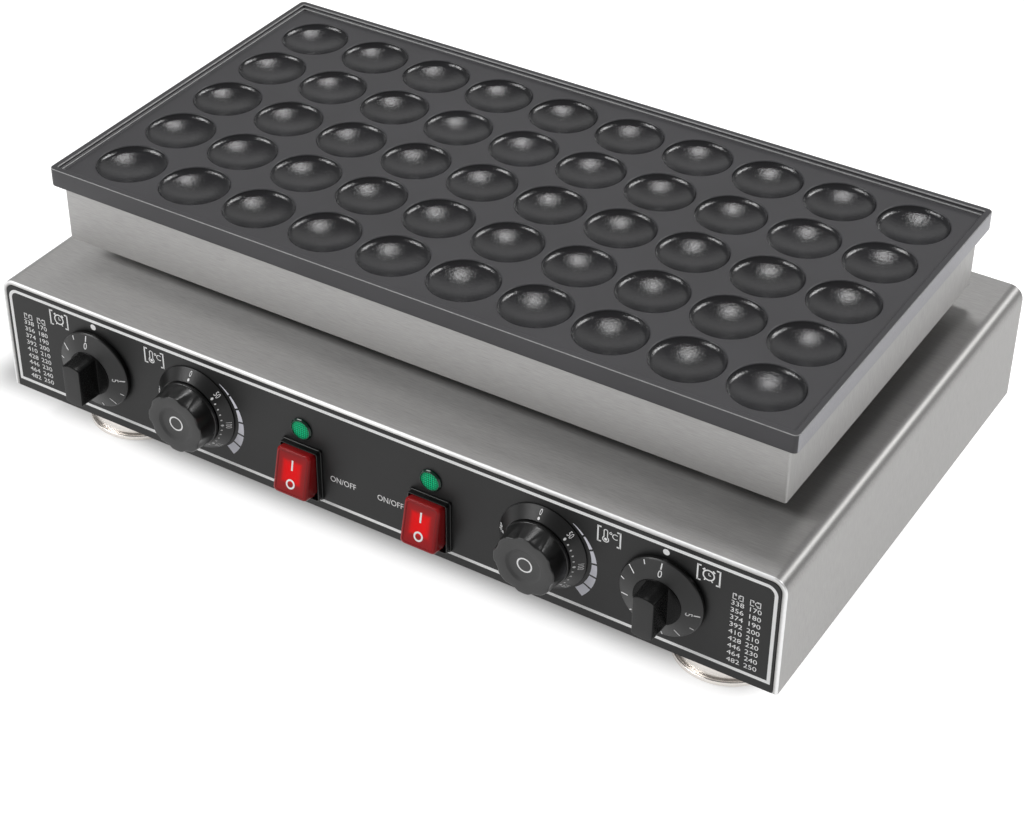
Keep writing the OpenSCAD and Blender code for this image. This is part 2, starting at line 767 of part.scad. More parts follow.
// Bar grip on a round hub.
module timer_grip(s) {
    color(black) front(s * timer_x, knob_z) translate([0, 0, dial_top]) difference() {
        union() {
            cylinder(r1 = hub_r, r2 = hub_r - 0.3, h = 0.8);
            intersection() {
                cylinder(r1 = hub_r, r2 = hub_r - 0.7, h = grip_out - dial_top - 0.8);
                translate([-grip_w / 2, -hub_r, 0]) cube([grip_w, 2 * hub_r, grip_out]);
            }
            intersection() {
                translate([0, 0, grip_out - dial_top - 0.8])
                    cylinder(r1 = hub_r - 0.7, r2 = hub_r - 1.5, h = 0.8);
                translate([-grip_w / 2 + 0.4, -hub_r, 0]) cube([grip_w - 0.8, 2 * hub_r, grip_out]);
            }
        }
        translate([0, 0, -1]) cylinder(r = shaft_r, h = grip_out - dial_top - 6);
    }
}

module timer_grip_left() { timer_grip(-1); }
module timer_grip_right() { timer_grip(1); }

flange_w = barrel_w + 1.4;
flange_h = barrel_h + 1;
switch_deep = 24;

// Switch case: flange and raised collar on the panel, box behind it, open for the rocker.
module switch_body(s) {
    color(black) front(switch_at(s), switch_z) difference() {
        union() {
            linear_extrude(1.8) rrect(flange_w, flange_h, 2);
            translate([0, 0, 1.8]) linear_extrude(collar_out - 1.8) rrect(flange_w - 1.6, flange_h - 1.6, 1.6);
            translate([0, 0, -switch_deep]) linear_extrude(switch_deep + 1) rrect(barrel_w, barrel_h, 1);
        }
        translate([0, 0, -12]) linear_extrude(30) rrect(cavity_w, cavity_h, 0.8);
        translate([0, 0, -pivot_in]) rotate([0, 90, 0]) cylinder(r = pin_r, h = barrel_w + 10, center = true);
    }
}

module switch_body_left() { switch_body(-1); }
module switch_body_right() { switch_body(1); }

module rocker_pins() {
    color(zinc) for (s = [-1, 1])
        front(switch_at(s), switch_z) translate([0, 0, -pivot_in]) rotate([0, 90, 0])
            cylinder(r = pin_r, h = barrel_w, center = true);
}

// Rocker cap, upper end pressed in: block in front, wedge back to the pin.
module rocker(s) {
    hh = rocker_h / 2;
    c = 1.2;
    color([0.75, 0.05, 0.06]) front(switch_at(s), switch_z) translate([0, 0, -pivot_in])
        rotate([-rocker_tilt, 0, 0]) difference() {
            translate([-rocker_w / 2, 0, 0]) rotate([90, 0, 90]) linear_extrude(rocker_w) polygon([
                [-hh, cap_back], [-hh, cap_front - c], [-hh + c, cap_front], [hh - c, cap_front],
                [hh, cap_front - c], [hh, cap_back], [hh / 2, -cap_heel], [-hh / 2, -cap_heel]]);
            rotate([0, 90, 0]) cylinder(r = pin_r + run_fit, h = rocker_w + 10, center = true);
        }
}

module rocker_left() { rocker(-1); }
module rocker_right() { rocker(1); }

lens_r = lamp_d / 2 - 1.3;

module lamp_body(s) {
    color([0.85, 0.85, 0.82]) front(switch_at(s), lamp_z) {
        translate([0, 0, -22]) cylinder(r = lamp_barrel_r, h = 22);
        translate([0, 0, -front_back - 4]) cylinder(r = lamp_barrel_r + 3, h = 4, $fn = 6);
    }
}

module lamp_body_left() { lamp_body(-1); }
module lamp_body_right() { lamp_body(1); }

module lamp_lens(s) {
    color([0.05, 0.6, 0.35]) front(switch_at(s), lamp_z) difference() {
        union() {
            cylinder(r = lamp_d / 2, h = 1.1);
            translate([0, 0, 1.1]) cylinder(r1 = lamp_d / 2, r2 = lens_r + 0.4, h = 0.8);
        }
        translate([0, 0, 1.6]) cylinder(r = lens_r, h = 2);
    }
}

module lamp_lens_left() { lamp_lens(-1); }
module lamp_lens_right() { lamp_lens(1); }

// Puts local z out of the rear face at the cable entry.
module at_gland() {
    translate([gland_x, rear_y - sheet, base_z + gland_z]) rotate([-90, 0, 0]) children();
}

module cable_gland() {
    color(black) at_gland() difference() {
        union() {
            translate([0, 0, -front_t - 9]) cylinder(r = gland_thread_r, h = front_t + 9 + 1);
            cylinder(r = gland_thread_r + 4, h = gland_hex + sheet, $fn = 6);
            translate([0, 0, gland_hex + sheet]) cylinder(r = gland_thread_r + 2, h = gland_dome - 6);
            translate([0, 0, gland_out + sheet - 6]) cylinder(r1 = gland_thread_r + 2, r2 = gland_bore_r + 2.5, h = 6);
        }
        translate([0, 0, -40]) cylinder(r = gland_bore_r, h = 80);
    }
}

module gland_nut() {
    color(black) at_gland() translate([0, 0, -front_t - 6]) difference() {
        cylinder(r = gland_thread_r + 4.5, h = 6, $fn = 6);
        translate([0, 0, -1]) cylinder(r = gland_thread_r, h = 10);
    }
}

block_w = 66;
block_d = 22;
block_h = 20;
ways = 5;

module terminal_block() {
    color([0.85, 0.84, 0.78]) translate([gland_x - 70, rear_y - 70, base_z + 2 * sheet]) difference() {
        translate([-block_w / 2, -block_d / 2, 0]) cube([block_w, block_d, block_h]);
        for (i = [0 : ways - 1]) translate([(i - (ways - 1) / 2) * block_w / ways, 0, 0]) {
            for (y = [-1, 1])
                translate([0, y * block_d * 0.27, block_h - 8]) cylinder(r = 3, h = 20);
            translate([0, 0, block_h * 0.35]) rotate([90, 0, 0]) cylinder(r = 2.5, h = block_d + 10, center = true);
        }
    }
}

earth_x = gland_x - 10;
earth_y = rear_y - 70;

module earth_stud() {
    color([0.78, 0.62, 0.3]) translate([earth_x, earth_y, base_z + sheet]) {
        cylinder(r = tie_r, h = 18);
        translate([0, 0, sheet]) cylinder(r = tie_nut_r, h = tie_nut_h, $fn = 6);
    }
}

base_cover();
front_plate();
control_panel();
rear_plate();
bottom_plate();
cover_screws();
rear_screws();
control_screws();
foot_front_left();
foot_front_right();
foot_rear_left();
foot_rear_right();
foot_pads();
foot_bolts();
wire_duct();
spacer_pillars();
tie_rods();
tie_nuts();
heater_housing();
insulation_blanket();
heat_shield();
heating_element_left();
heating_element_right();
element_clamps();
clamp_studs();
baking_plate();
thermostat_body_left();
thermostat_body_right();
thermostat_bulb_left();
thermostat_bulb_right();
scale_ring_left();
scale_ring_right();
timer_body_left();
timer_body_right();
switch_body_left();
switch_body_right();
rocker_pins();
lamp_body_left();
lamp_body_right();
lamp_lens_left();
lamp_lens_right();
cable_gland();
gland_nut();
terminal_block();
earth_stud();
thermostat_shaft_left();
thermostat_shaft_right();
thermostat_knob_left();
thermostat_knob_right();
timer_shaft_left();
timer_shaft_right();
timer_dial_left();
timer_dial_right();
timer_grip_left();
timer_grip_right();
rocker_left();
rocker_right();
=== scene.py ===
import bmesh
import bpy
import json
import math
import numpy as np
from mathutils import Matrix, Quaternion, Vector


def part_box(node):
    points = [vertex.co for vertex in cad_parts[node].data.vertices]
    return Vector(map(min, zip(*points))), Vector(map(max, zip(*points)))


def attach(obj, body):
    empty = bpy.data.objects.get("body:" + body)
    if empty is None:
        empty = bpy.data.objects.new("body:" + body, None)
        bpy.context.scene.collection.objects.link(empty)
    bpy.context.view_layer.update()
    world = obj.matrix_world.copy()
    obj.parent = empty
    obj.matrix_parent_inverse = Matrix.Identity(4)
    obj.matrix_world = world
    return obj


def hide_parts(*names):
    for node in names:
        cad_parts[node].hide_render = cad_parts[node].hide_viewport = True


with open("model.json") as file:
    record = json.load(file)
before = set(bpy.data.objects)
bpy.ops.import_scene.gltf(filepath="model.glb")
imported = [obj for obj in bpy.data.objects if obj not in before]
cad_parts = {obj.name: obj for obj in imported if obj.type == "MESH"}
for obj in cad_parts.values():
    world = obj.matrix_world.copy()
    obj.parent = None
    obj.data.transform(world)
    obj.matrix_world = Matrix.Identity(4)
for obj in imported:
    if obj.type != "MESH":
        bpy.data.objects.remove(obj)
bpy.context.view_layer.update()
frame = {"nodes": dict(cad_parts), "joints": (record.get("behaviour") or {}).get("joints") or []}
nodes = frame["nodes"]
mm = 0.001
scene = bpy.context.scene
scene.view_settings.view_transform = "Standard"

# places that the frame gives
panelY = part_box("control_panel")[0].y  # front face of the panel film
baseLow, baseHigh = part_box("base_cover")
plateLow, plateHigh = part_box("baking_plate")
axisAt = {j["name"]: Vector(j["pos_m"]) for j in frame["joints"]}
sides = ("left", "right")


def inMm(*values):
    return tuple(value * mm for value in values)


def addObject(name, data):
    item = bpy.data.objects.new(name, data)
    scene.collection.objects.link(item)
    return item


# Camera: looks from eye along a direction, turned a little about its own axis
cameraSetup = {
    "eye": (0.6500, -1.0652, 0.9484),
    "look": (-0.41672, 0.68471, -0.59792),
    "roll": 0.58,  # degrees
    "lens": 82.25,
    "sensor": 36.0,
    "clip": (0.05, 30.0),
}


def makeCamera(setup):
    data = bpy.data.cameras.new("photoCamera")
    data.lens = setup["lens"]
    data.sensor_width = setup["sensor"]
    data.clip_start, data.clip_end = setup["clip"]
    camera = addObject("photoCamera", data)
    look = Vector(setup["look"]).normalized()
    turn = Quaternion((0, 0, 1), math.radians(setup["roll"]))
    camera.rotation_mode = "QUATERNION"
    camera.rotation_quaternion = look.to_track_quat("-Z", "Y") @ turn
    camera.location = setup["eye"]
    scene.camera = camera


makeCamera(cameraSetup)
print("camera set")


# Node helpers: outputs of other nodes are linked, plain values are set on the socket

def plug(tree, socket, value):
    if isinstance(value, bpy.types.NodeSocket):
        tree.links.new(value, socket)
    else:
        socket.default_value = value


def feed(tree, node, **values):
    for label, value in values.items():
        plug(tree, node.inputs[label.replace("_", " ")], value)
    return node


def addNode(tree, kind, **values):
    return feed(tree, tree.nodes.new("ShaderNode" + kind), **values)


def addMath(tree, operation, *values, clamp=False):
    node = addNode(tree, "Math")
    node.operation = operation
    node.use_clamp = clamp
    for socket, value in zip(node.inputs, values):
        plug(tree, socket, value)
    return node.outputs[0]


def addNoise(tree, vector, scale, detail, rough=0.5):
    return addNode(tree, "TexNoise", Vector=vector, Scale=scale, Detail=detail, Roughness=rough).outputs["Fac"]


def addRamp(tree, value, stops):
    # two stops, each a place and a colour
    node = addNode(tree, "ValToRGB", Fac=value)
    for element, (place, colour) in zip(node.color_ramp.elements, stops):
        element.position = place
        element.color = (*colour, 1)
    return node.outputs["Color"]


def addBump(tree, height, strength, depth=0.2 * mm):
    return addNode(tree, "Bump", Height=height, Strength=strength, Distance=depth).outputs["Normal"]


def spread(tree, value, low, high):
    return addNode(tree, "MapRange", Value=value, To_Min=low, To_Max=high).outputs["Result"]


def mixColour(tree, factor, first, second):
    node = addNode(tree, "Mix")
    node.data_type = "RGBA"
    first, second = ((*colour, 1) if isinstance(colour, tuple) else colour for colour in (first, second))
    return feed(tree, node, Factor=factor, A=first, B=second).outputs["Result"]


def readMark(tree, name):
    node = addNode(tree, "Attribute")
    node.attribute_name = name
    return node.outputs["Fac"]


def makeGroup(name, inputs, outputs):
    group = bpy.data.node_groups.new(name, "ShaderNodeTree")
    for label, default in inputs.items():
        socket = group.interface.new_socket(label, in_out="INPUT", socket_type="NodeSocketFloat")
        socket.default_value = default
    for label in outputs:
        group.interface.new_socket(label, in_out="OUTPUT", socket_type="NodeSocketFloat")
    return group, group.nodes.new("NodeGroupInput").outputs, group.nodes.new("NodeGroupOutput")


# Brushed grain: noise stretched along X, and along Z on faces that look sideways
def makeGrainGroup():
    group, given, out = makeGroup("brushedGrain", {"Fineness": 1800.0, "Length": 0.02}, ["Streak", "Smudge"])
    place = addNode(group, "TexCoord").outputs
    at = addNode(group, "SeparateXYZ", Vector=place["Object"]).outputs
    facing = addNode(group, "SeparateXYZ", Vector=place["Normal"]).outputs
    sideways = addMath(group, "GREATER_THAN", addMath(group, "ABSOLUTE", facing["X"]), 0.72)
    along, across = (
        addNode(group, "Mix", Factor=sideways, A=at[plain], B=at[turned]).outputs["Result"]
        for plain, turned in ("XZ", "ZX")
    )
    stretched = addMath(group, "MULTIPLY", along, given["Length"])
    lines = addNode(group, "CombineXYZ", X=stretched, Y=at["Y"], Z=across).outputs[0]
    feed(group, out, Streak=addNoise(group, lines, given["Fineness"], 3.0, 0.6),
         Smudge=addNoise(group, place["Object"], 9.0, 3.0))
    return group


# Fine pebble: two sizes of noise, for coatings and moulded plastic
def makePebbleGroup():
    group, given, out = makeGroup("finePebble", {"Fineness": 2500.0}, ["Pebble", "Patch"])
    place = addNode(group, "TexCoord").outputs["Object"]
    feed(group, out, Pebble=addNoise(group, place, given["Fineness"], 2.0, 0.65),
         Patch=addNoise(group, place, 24.0, 4.0))
    return group


# Edge highlight: the piece's own attribute of polished edges, broken up by fine wear; the paler colour it brings
# is a painted highlight
def makeEdgeGroup():
    group, given, out = makeGroup("polishedEdgePaintedHighlight", {"Wear": 0.35}, ["Edge"])
    place = addNode(group, "TexCoord").outputs["Object"]
    worn = addMath(group, "MULTIPLY", addNoise(group, place, 420.0, 3.0), given["Wear"])
    feed(group, out, Edge=addMath(group, "SUBTRACT", readMark(group, "polishAndPaintedHighlight"), worn, clamp=True))
    return group


grainGroup = makeGrainGroup()
pebbleGroup = makePebbleGroup()
edgeHighlightGroup = makeEdgeGroup()


def useGroup(tree, group, **values):
    node = addNode(tree, "Group")
    node.node_tree = group
    return feed(tree, node, **values).outputs


def newMaterial(name, **sockets):
    material = bpy.data.materials.new(name)
    material.use_nodes = True
    tree = material.node_tree
    return material, tree, feed(tree, tree.nodes["Principled BSDF"], **sockets)


# Metal: the streaks colour and emboss it, the smudges change its gloss
def sheetMetal(name, dark, light, fineness, length, rough, bump, edge=None, brushed=0.0):
    material, tree, shader = newMaterial(name, Metallic=1.0, Anisotropic=brushed, Anisotropic_Rotation=0.25)
    if brushed:  # gloss spreads across the brush lines, which run along X and up the sides
        along = addNode(tree, "Tangent")
        along.direction_type = "RADIAL"
        along.axis = "Y"
        feed(tree, shader, Tangent=along.outputs[0])
    grain = useGroup(tree, grainGroup, Fineness=fineness, Length=length)
    colour = addRamp(tree, grain["Streak"], [(0.3, dark), (0.7, light)])
    # the edge colour on the marked edges is a painted highlight
    if edge:
        colour = mixColour(tree, useGroup(tree, edgeHighlightGroup, Wear=0.25)["Edge"], colour, edge)
    feed(tree, shader, Base_Color=colour, Roughness=spread(tree, grain["Smudge"], *rough),
         Normal=addBump(tree, grain["Streak"], bump))
    return material


# Plastic, rubber, ink and coatings: the patches colour it, the pebbles emboss it and change its gloss
def pebbled(name, dark, light, fineness, rough, bump, shine=0.5, edge=None):
    material, tree, shader = newMaterial(name, Specular_IOR_Level=shine)
    pebble = useGroup(tree, pebbleGroup, Fineness=fineness)
    colour = addRamp(tree, pebble["Patch"], [(0.3, dark), (0.7, light)])
    gloss = spread(tree, pebble["Pebble"], *rough)
    if edge:  # marked edges are smoother from polish and paler from a painted highlight
        worn = useGroup(tree, edgeHighlightGroup, Wear=0.5)["Edge"]
        colour = mixColour(tree, worn, colour, edge)
        gloss = addMath(tree, "MULTIPLY", gloss, spread(tree, worn, 1.0, 0.35))
    feed(tree, shader, Base_Color=colour, Roughness=gloss, Normal=addBump(tree, pebble["Pebble"], bump))
    return material


# Tinted plastic: a clear lit window in a deeper, patchy body. Its emission is the lamp's own light in the lens
# and a painted glow on the rocker cap.
def tinted(name, body, patch, window, glow, strength, rough, shine):
    material, tree, shader = newMaterial(name, Specular_IOR_Level=shine, Emission_Strength=strength)
    pebble = useGroup(tree, pebbleGroup, Fineness=1200.0)
    lit = readMark(tree, "window")
    patchy = addRamp(tree, pebble["Patch"], [(0.35, body), (0.7, patch)])
    feed(tree, shader, Base_Color=mixColour(tree, lit, patchy, window),
         Emission_Color=mixColour(tree, lit, (0.0, 0.0, 0.0), glow),
         Roughness=spread(tree, pebble["Pebble"], *rough))
    return material


def grey(level, warm=0.0):
    return (level * (1 + warm), level, level * (1 - warm))


# two colours, fineness of the grain per metre, length of its lines, gloss range, bump
# the cover's pale edge colour paints the highlight on its turned front edge
coverSteel = sheetMetal("coverSteel", grey(0.33, 0.015), grey(0.41, 0.015), 2200, 0.05, (0.50, 0.58), 0.06,
                        edge=grey(0.85), brushed=0.75)
brushedSteel = sheetMetal("brushedSteel", grey(0.32, 0.015), grey(0.40, 0.015), 2200, 0.05, (0.46, 0.54), 0.06)
bareEdge = sheetMetal("bareEdge", (0.25, 0.25, 0.265), (0.30, 0.30, 0.315), 1500, 0.2, (0.42, 0.52), 0.08)
turnedSteel = sheetMetal("turnedSteel", grey(0.42), grey(0.60), 2200, 0.3, (0.22, 0.34), 0.05)
footMetal = sheetMetal("footMetal", grey(0.68, 0.05), grey(0.76, 0.05), 900, 0.4, (0.18, 0.26), 0.03)
foil = sheetMetal("foil", grey(0.6), grey(0.75), 500, 1.0, (0.2, 0.4), 0.2)
heaterTube = sheetMetal("heaterTube", (0.10, 0.09, 0.08), (0.17, 0.15, 0.13), 900, 1.0, (0.4, 0.6), 0.1)
copper = sheetMetal("copper", (0.55, 0.27, 0.15), (0.72, 0.38, 0.22), 900, 1.0, (0.25, 0.4), 0.05)
brass = sheetMetal("brass", (0.58, 0.42, 0.16), (0.72, 0.55, 0.24), 900, 1.0, (0.25, 0.4), 0.05)

# two colours, fineness of the pebbles per metre, gloss range, bump, shine
panelFilm = pebbled("panelFilm", grey(0.011), grey(0.014), 3000, (0.40, 0.48), 0.05, 0.28)
padRubber = pebbled("padRubber", grey(0.02), grey(0.03), 1500, (0.7, 0.85), 0.2)
fibre = pebbled("fibre", (0.62, 0.58, 0.48), (0.75, 0.71, 0.62), 400, (0.85, 0.95), 0.8)
caseGrey = pebbled("caseGrey", grey(0.30), grey(0.36), 1500, (0.45, 0.55), 0.1)
dialSatin = pebbled("dialSatin", grey(0.005), grey(0.008), 2600, (0.30, 0.40), 0.12, 0.36)
gripGloss = pebbled("gripGloss", grey(0.006), grey(0.008), 1800, (0.24, 0.30), 0.03, 0.1)
gripFace = pebbled("gripFace", grey(0.016), grey(0.021), 1800, (0.42, 0.50), 0.05, 0.3)
knobSatin = pebbled("knobSatin", grey(0.034), grey(0.040), 2200, (0.44, 0.52), 0.06, 0.4)
knobGloss = pebbled("knobGloss", grey(0.007), grey(0.010), 1800, (0.26, 0.32), 0.03, 0.45)
# the switch case's paler edge colour is a painted highlight on the collar's outer edge
switchCase = pebbled("switchCase", grey(0.005), grey(0.007), 2200, (0.30, 0.38), 0.04, 0.3, edge=grey(0.06))
whiteInk = pebbled("whiteInk", grey(0.84), grey(0.90), 2000, (0.45, 0.55), 0.02, 0.2)
wedgeInk = pebbled("wedgeInk", (0.66, 0.66, 0.72), (0.71, 0.71, 0.77), 2000, (0.45, 0.55), 0.02, 0.2)
lampWhite = pebbled("lampWhite", grey(0.70), grey(0.76), 1500, (0.35, 0.45), 0.05)
lampRing = pebbled("lampRing", (0.003, 0.022, 0.013), (0.004, 0.032, 0.019), 1500, (0.14, 0.20), 0.02, 0.35)
# the flat coating's edge colour paints highlights on the rim edges and the cup lips
flatCoating = pebbled("flatCoating", (0.028, 0.027, 0.030), (0.034, 0.033, 0.037), 1900, (0.40, 0.50), 0.12,
                      edge=grey(0.34))
# the cup coating is a darker copy of the flat coating, a painted shade in the cups; its gloss and bump are its
# own
cupCoatingPaintedShade = pebbled("cupCoatingPaintedShade", (0.011, 0.011, 0.012), (0.016, 0.016, 0.018), 750, (0.10, 0.27), 0.85)
# the rocker's window glows with a painted light; its brighter red is the cap's own colour
rockerRedPaintedGlow = tinted("rockerRedPaintedGlow", (0.24, 0.010, 0.013), (0.20, 0.018, 0.018), (0.62, 0.002, 0.004),
                   (0.8, 0.0, 0.0), 0.25, (0.16, 0.24), 0.12)
lampGreen = tinted("lampGreen", (0.002, 0.09, 0.035), (0.003, 0.11, 0.045), (0.006, 0.54, 0.23),
                   (0.0, 0.42, 0.19), 0.22, (0.12, 0.2), 0.08)
print("materials made")


# Mesh helpers

def fullTurn(steps):
    return np.arange(steps) * 2 * math.pi / steps


def ray(angle):
    return np.stack([np.cos(angle), np.sin(angle)], -1)


def quarterTurn(centre, radius, start, steps=4):
    # points on a quarter circle from angle start on, in degrees
    return radius * ray(np.radians(start + np.linspace(0, 90, steps + 1))) + centre


def turned(points, degrees):
    # flat points turned counterclockwise about the origin
    c, s = ray(math.radians(degrees))
    return points @ np.array([[c, s], [-s, c]])


def lifted(flat, height):
    # rows of flat points, each row at its own height
    return np.concatenate([flat, np.broadcast_to(height[:, None, None], flat.shape[:-1] + (1,))], -1)


def softMin(first, second, blend):
    # the smaller of two values, with a round change over from one to the other
    return -blend * np.logaddexp(-first / blend, -second / blend)


def onPanel(x, z, out):
    # panel coordinates: x right, z up, out from the film
    x, z, out = np.broadcast_arrays(x, z, out)
    return np.stack([x, panelY - out, z], -1)


def gridQuads(rows, cols):
    # quads between neighbouring rows of a closed loop of points
    row, col = np.meshgrid(np.arange(rows - 1), np.arange(cols), indexing="ij")
    nextCol = (col + 1) % cols
    corners = [row * cols + col, row * cols + nextCol, (row + 1) * cols + nextCol, (row + 1) * cols + col]
    return np.stack(corners, -1).reshape(-1, 4)


def newMesh(name, points, faces, materials):
    mesh = bpy.data.meshes.new(name)
    mesh.from_pydata(np.reshape(points, (-1, 3)).tolist(), [], [list(map(int, face)) for face in faces])
    for material in materials:
        mesh.materials.append(material)
    return mesh


def addPiece(name, points, faces, materials, body, standsFor=(), sharpAngle=40, pick=None, marks=None):
    # pick gives each face its material, marks gives named values to the points
    mesh = newMesh(name, points, faces, materials)
    if pick is not None:
        mesh.polygons.foreach_set("material_index", np.asarray(pick, np.int32))
    for label, values in (marks or {}).items():
        mark = mesh.attributes.new(label, "FLOAT", "POINT")
        mark.data.foreach_set("value", np.asarray(values, np.float32).ravel())
    work = bmesh.new()
    work.from_mesh(mesh)
    bmesh.ops.remove_doubles(work, verts=work.verts, dist=2e-7)
    bmesh.ops.recalc_face_normals(work, faces=work.faces)
    work.to_mesh(mesh)
    work.free()
    mesh.polygons.foreach_set("use_smooth", np.ones(len(mesh.polygons), bool))
    mesh.set_sharp_from_angle(angle=math.radians(sharpAngle))
    piece = addObject(name, mesh)
    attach(piece, body)
    if standsFor:
        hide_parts(*standsFor)


# Baking plate: cells of rings that run from the cup centre to the cell's square edge,
# then the rim profile carried round a rectangle with round corners
plate = {
    "cols": 10,
    "rows": 5,
    "pitch": 50 * mm,
    "cupDepth": 7.5 * mm,
    "floorRadius": 19.5 * mm,
    "floorRise": 3.85 * mm,  # dish of the cup floor, centre to fillet
    "fillet": 6 * mm,
    "wallSlope": 65.0,  # degrees at the top of the fillet
    # share of the paler edge colour on the cup lips, a painted highlight
    "lipPaintedHighlight": 0.2,
    "spokes": 48,
    "rimHeight": 3.5 * mm,
    "stepHeight": 1.4 * mm,
    "rimWidth": 4.2 * mm,
    "stepWidth": 1.5 * mm,
    "rimFillet": 0.6 * mm,
    "innerRound": 0.6 * mm,
    "outerRound": 0.35 * mm,
    "skirtRound": 0.8 * mm,
    "chamfer": 0.3 * mm,
    "guard": 0.1 * mm,  # rows that keep the polished edges and their painted highlight narrow
    "cornerRadius": 3.5 * mm,
    "cornerShrink": 0.55,  # loss of corner radius for each inset
    "cornerLeast": 0.9 * mm,
    "plugInset": 8.7 * mm,  # block that sits down in the housing
    "rodReach": 3.5 * mm,  # tie rods into the underside
}


def cupProfile(p):
    # parabola for the floor, an arc that steepens to the wall, an arc back to level for the lip:
    # radius and height below the face, and the number of rows below the lip
    share = np.linspace(0, 1, 11)
    floor = np.stack([p["floorRadius"] * share, -p["cupDepth"] + p["floorRise"] * share**2], -1)
    slope = np.linspace(math.atan(2 * p["floorRise"] / p["floorRadius"]), math.radians(p["wallSlope"]), 9)
    arc = np.stack([np.sin(slope), -np.cos(slope)], -1)
    bend = floor[-1] + p["fillet"] * (arc - arc[0])
    lipRadius = -bend[-1, 1] / (1 - math.cos(slope[-1]))
    back = np.linspace(slope[-1], 0, 6)
    turn = np.stack([-np.sin(back), np.cos(back)], -1)
    lip = bend[-1] + lipRadius * (turn - turn[0])
    return np.concatenate([floor, bend[1:], lip[1:]]), len(floor) + len(bend) - 1


def plateCells(p):
    # the cup profile turned about each centre, with one more ring stretched out to the cell's square
    profile, lipRow = cupProfile(p)
    way = ray(fullTurn(p["spokes"]))
    edge = p["pitch"] / 2 / np.abs(way).max(1)
    radius = np.append(profile[:, 0], profile[-1, 0] + 2 * p["guard"])
    height = np.append(profile[:, 1], [0, 0])
    rings = np.concatenate([radius[:, None, None] * way, (edge[:, None] * way)[None]])
    across, deep = ((np.arange(p[n]) - (p[n] - 1) / 2) * p["pitch"] for n in ("cols", "rows"))
    middle = np.stack(np.meshgrid(across, deep, indexing="ij"), -1).reshape(-1, 1, 1, 2)
    points = np.concatenate([lifted(rings + centre, height) for centre in middle]).reshape(-1, 3)
    quads = gridQuads(len(rings), p["spokes"])
    faces = (quads + np.arange(len(middle))[:, None, None] * len(rings) * p["spokes"]).reshape(-1, 4)
    # faces inside the cups take the darker coating, a painted shade
    inCup = np.arange(len(rings) - 1) < lipRow - 1
    # the lip rows get some polish and the paler edge colour, a painted highlight
    worn = np.zeros(len(rings))
    worn[lipRow + 1:lipRow + 4] = p["lipPaintedHighlight"]
    return points, faces, *(np.tile(np.repeat(row, p["spokes"]), len(middle)) for row in (inCup, worn))


def rimLoop(p):
    # points round the cell block with their outward directions, corners repeated as a fan
    step = np.tan(np.radians(np.linspace(-45, 45, p["spokes"] // 4 + 1)))[:-1] / 2
    halfX, halfY = p["cols"] / 2, p["rows"] / 2
    alongX, alongY = ((np.arange(p[n])[:, None] + 0.5 + step).ravel() - p[n] / 2 for n in ("cols", "rows"))
    fan = np.radians(np.linspace(0, 90, 7))[1:]
    place, way = [], []
    for quarter, (along, half, other) in enumerate([(alongX, halfX, halfY), (alongY, halfY, halfX)] * 2):
        run = np.append(along, [half] * (len(fan) + 1))
        run = np.stack([run, np.full(len(run), -other)], -1)
        tilt = np.concatenate([np.zeros(len(along) + 1), fan])
        tilt = np.stack([np.sin(tilt), -np.cos(tilt)], -1)
        place.append(turned(run, 90 * quarter)[:-1])
        way.append(turned(tilt, 90 * quarter)[:-1])
    return np.concatenate(place) / [halfX, halfY], np.concatenate(way)


def rimProfile(p, drop):
    # from the face up over the stepped rim, down the outside and in under the plate: inset and height,
    # with the rows of the outer edge, of the inner edges and of the skirt
    wide, top, step = p["rimWidth"], p["rimHeight"], p["stepHeight"]
    inner = wide + p["stepWidth"]
    fillet, worn, soft, foot = p["rimFillet"], p["innerRound"], p["outerRound"], p["skirtRound"]
    cut, guard = p["chamfer"], p["guard"]
    parts = [
        [(inner + 2 * fillet, 0)],
        quarterTurn((inner + fillet, fillet), fillet, 180)[::-1],
        quarterTurn((inner - worn, step - worn), worn, 0),
        [(inner - worn - guard, step), (wide + cut, step)],
        [(wide, step + cut), (wide, top - worn - guard)],
        quarterTurn((wide - worn, top - worn), worn, 0),
        [(wide - worn - guard, top), (soft + 2 * guard, top)],
        quarterTurn((soft, top - soft), soft, 90),
        [(0, top - soft - 2 * guard)],
        quarterTurn((foot, top - drop + foot), foot, 180),
        [(p["plugInset"], top - drop)],
    ]
    number = np.repeat(np.arange(len(parts)), [len(part) for part in parts])
    rows = number == 7, np.isin(number, (2, 5)), np.isin(number, (8, 9))
    return np.concatenate([np.asarray(part, float) for part in parts]), *rows


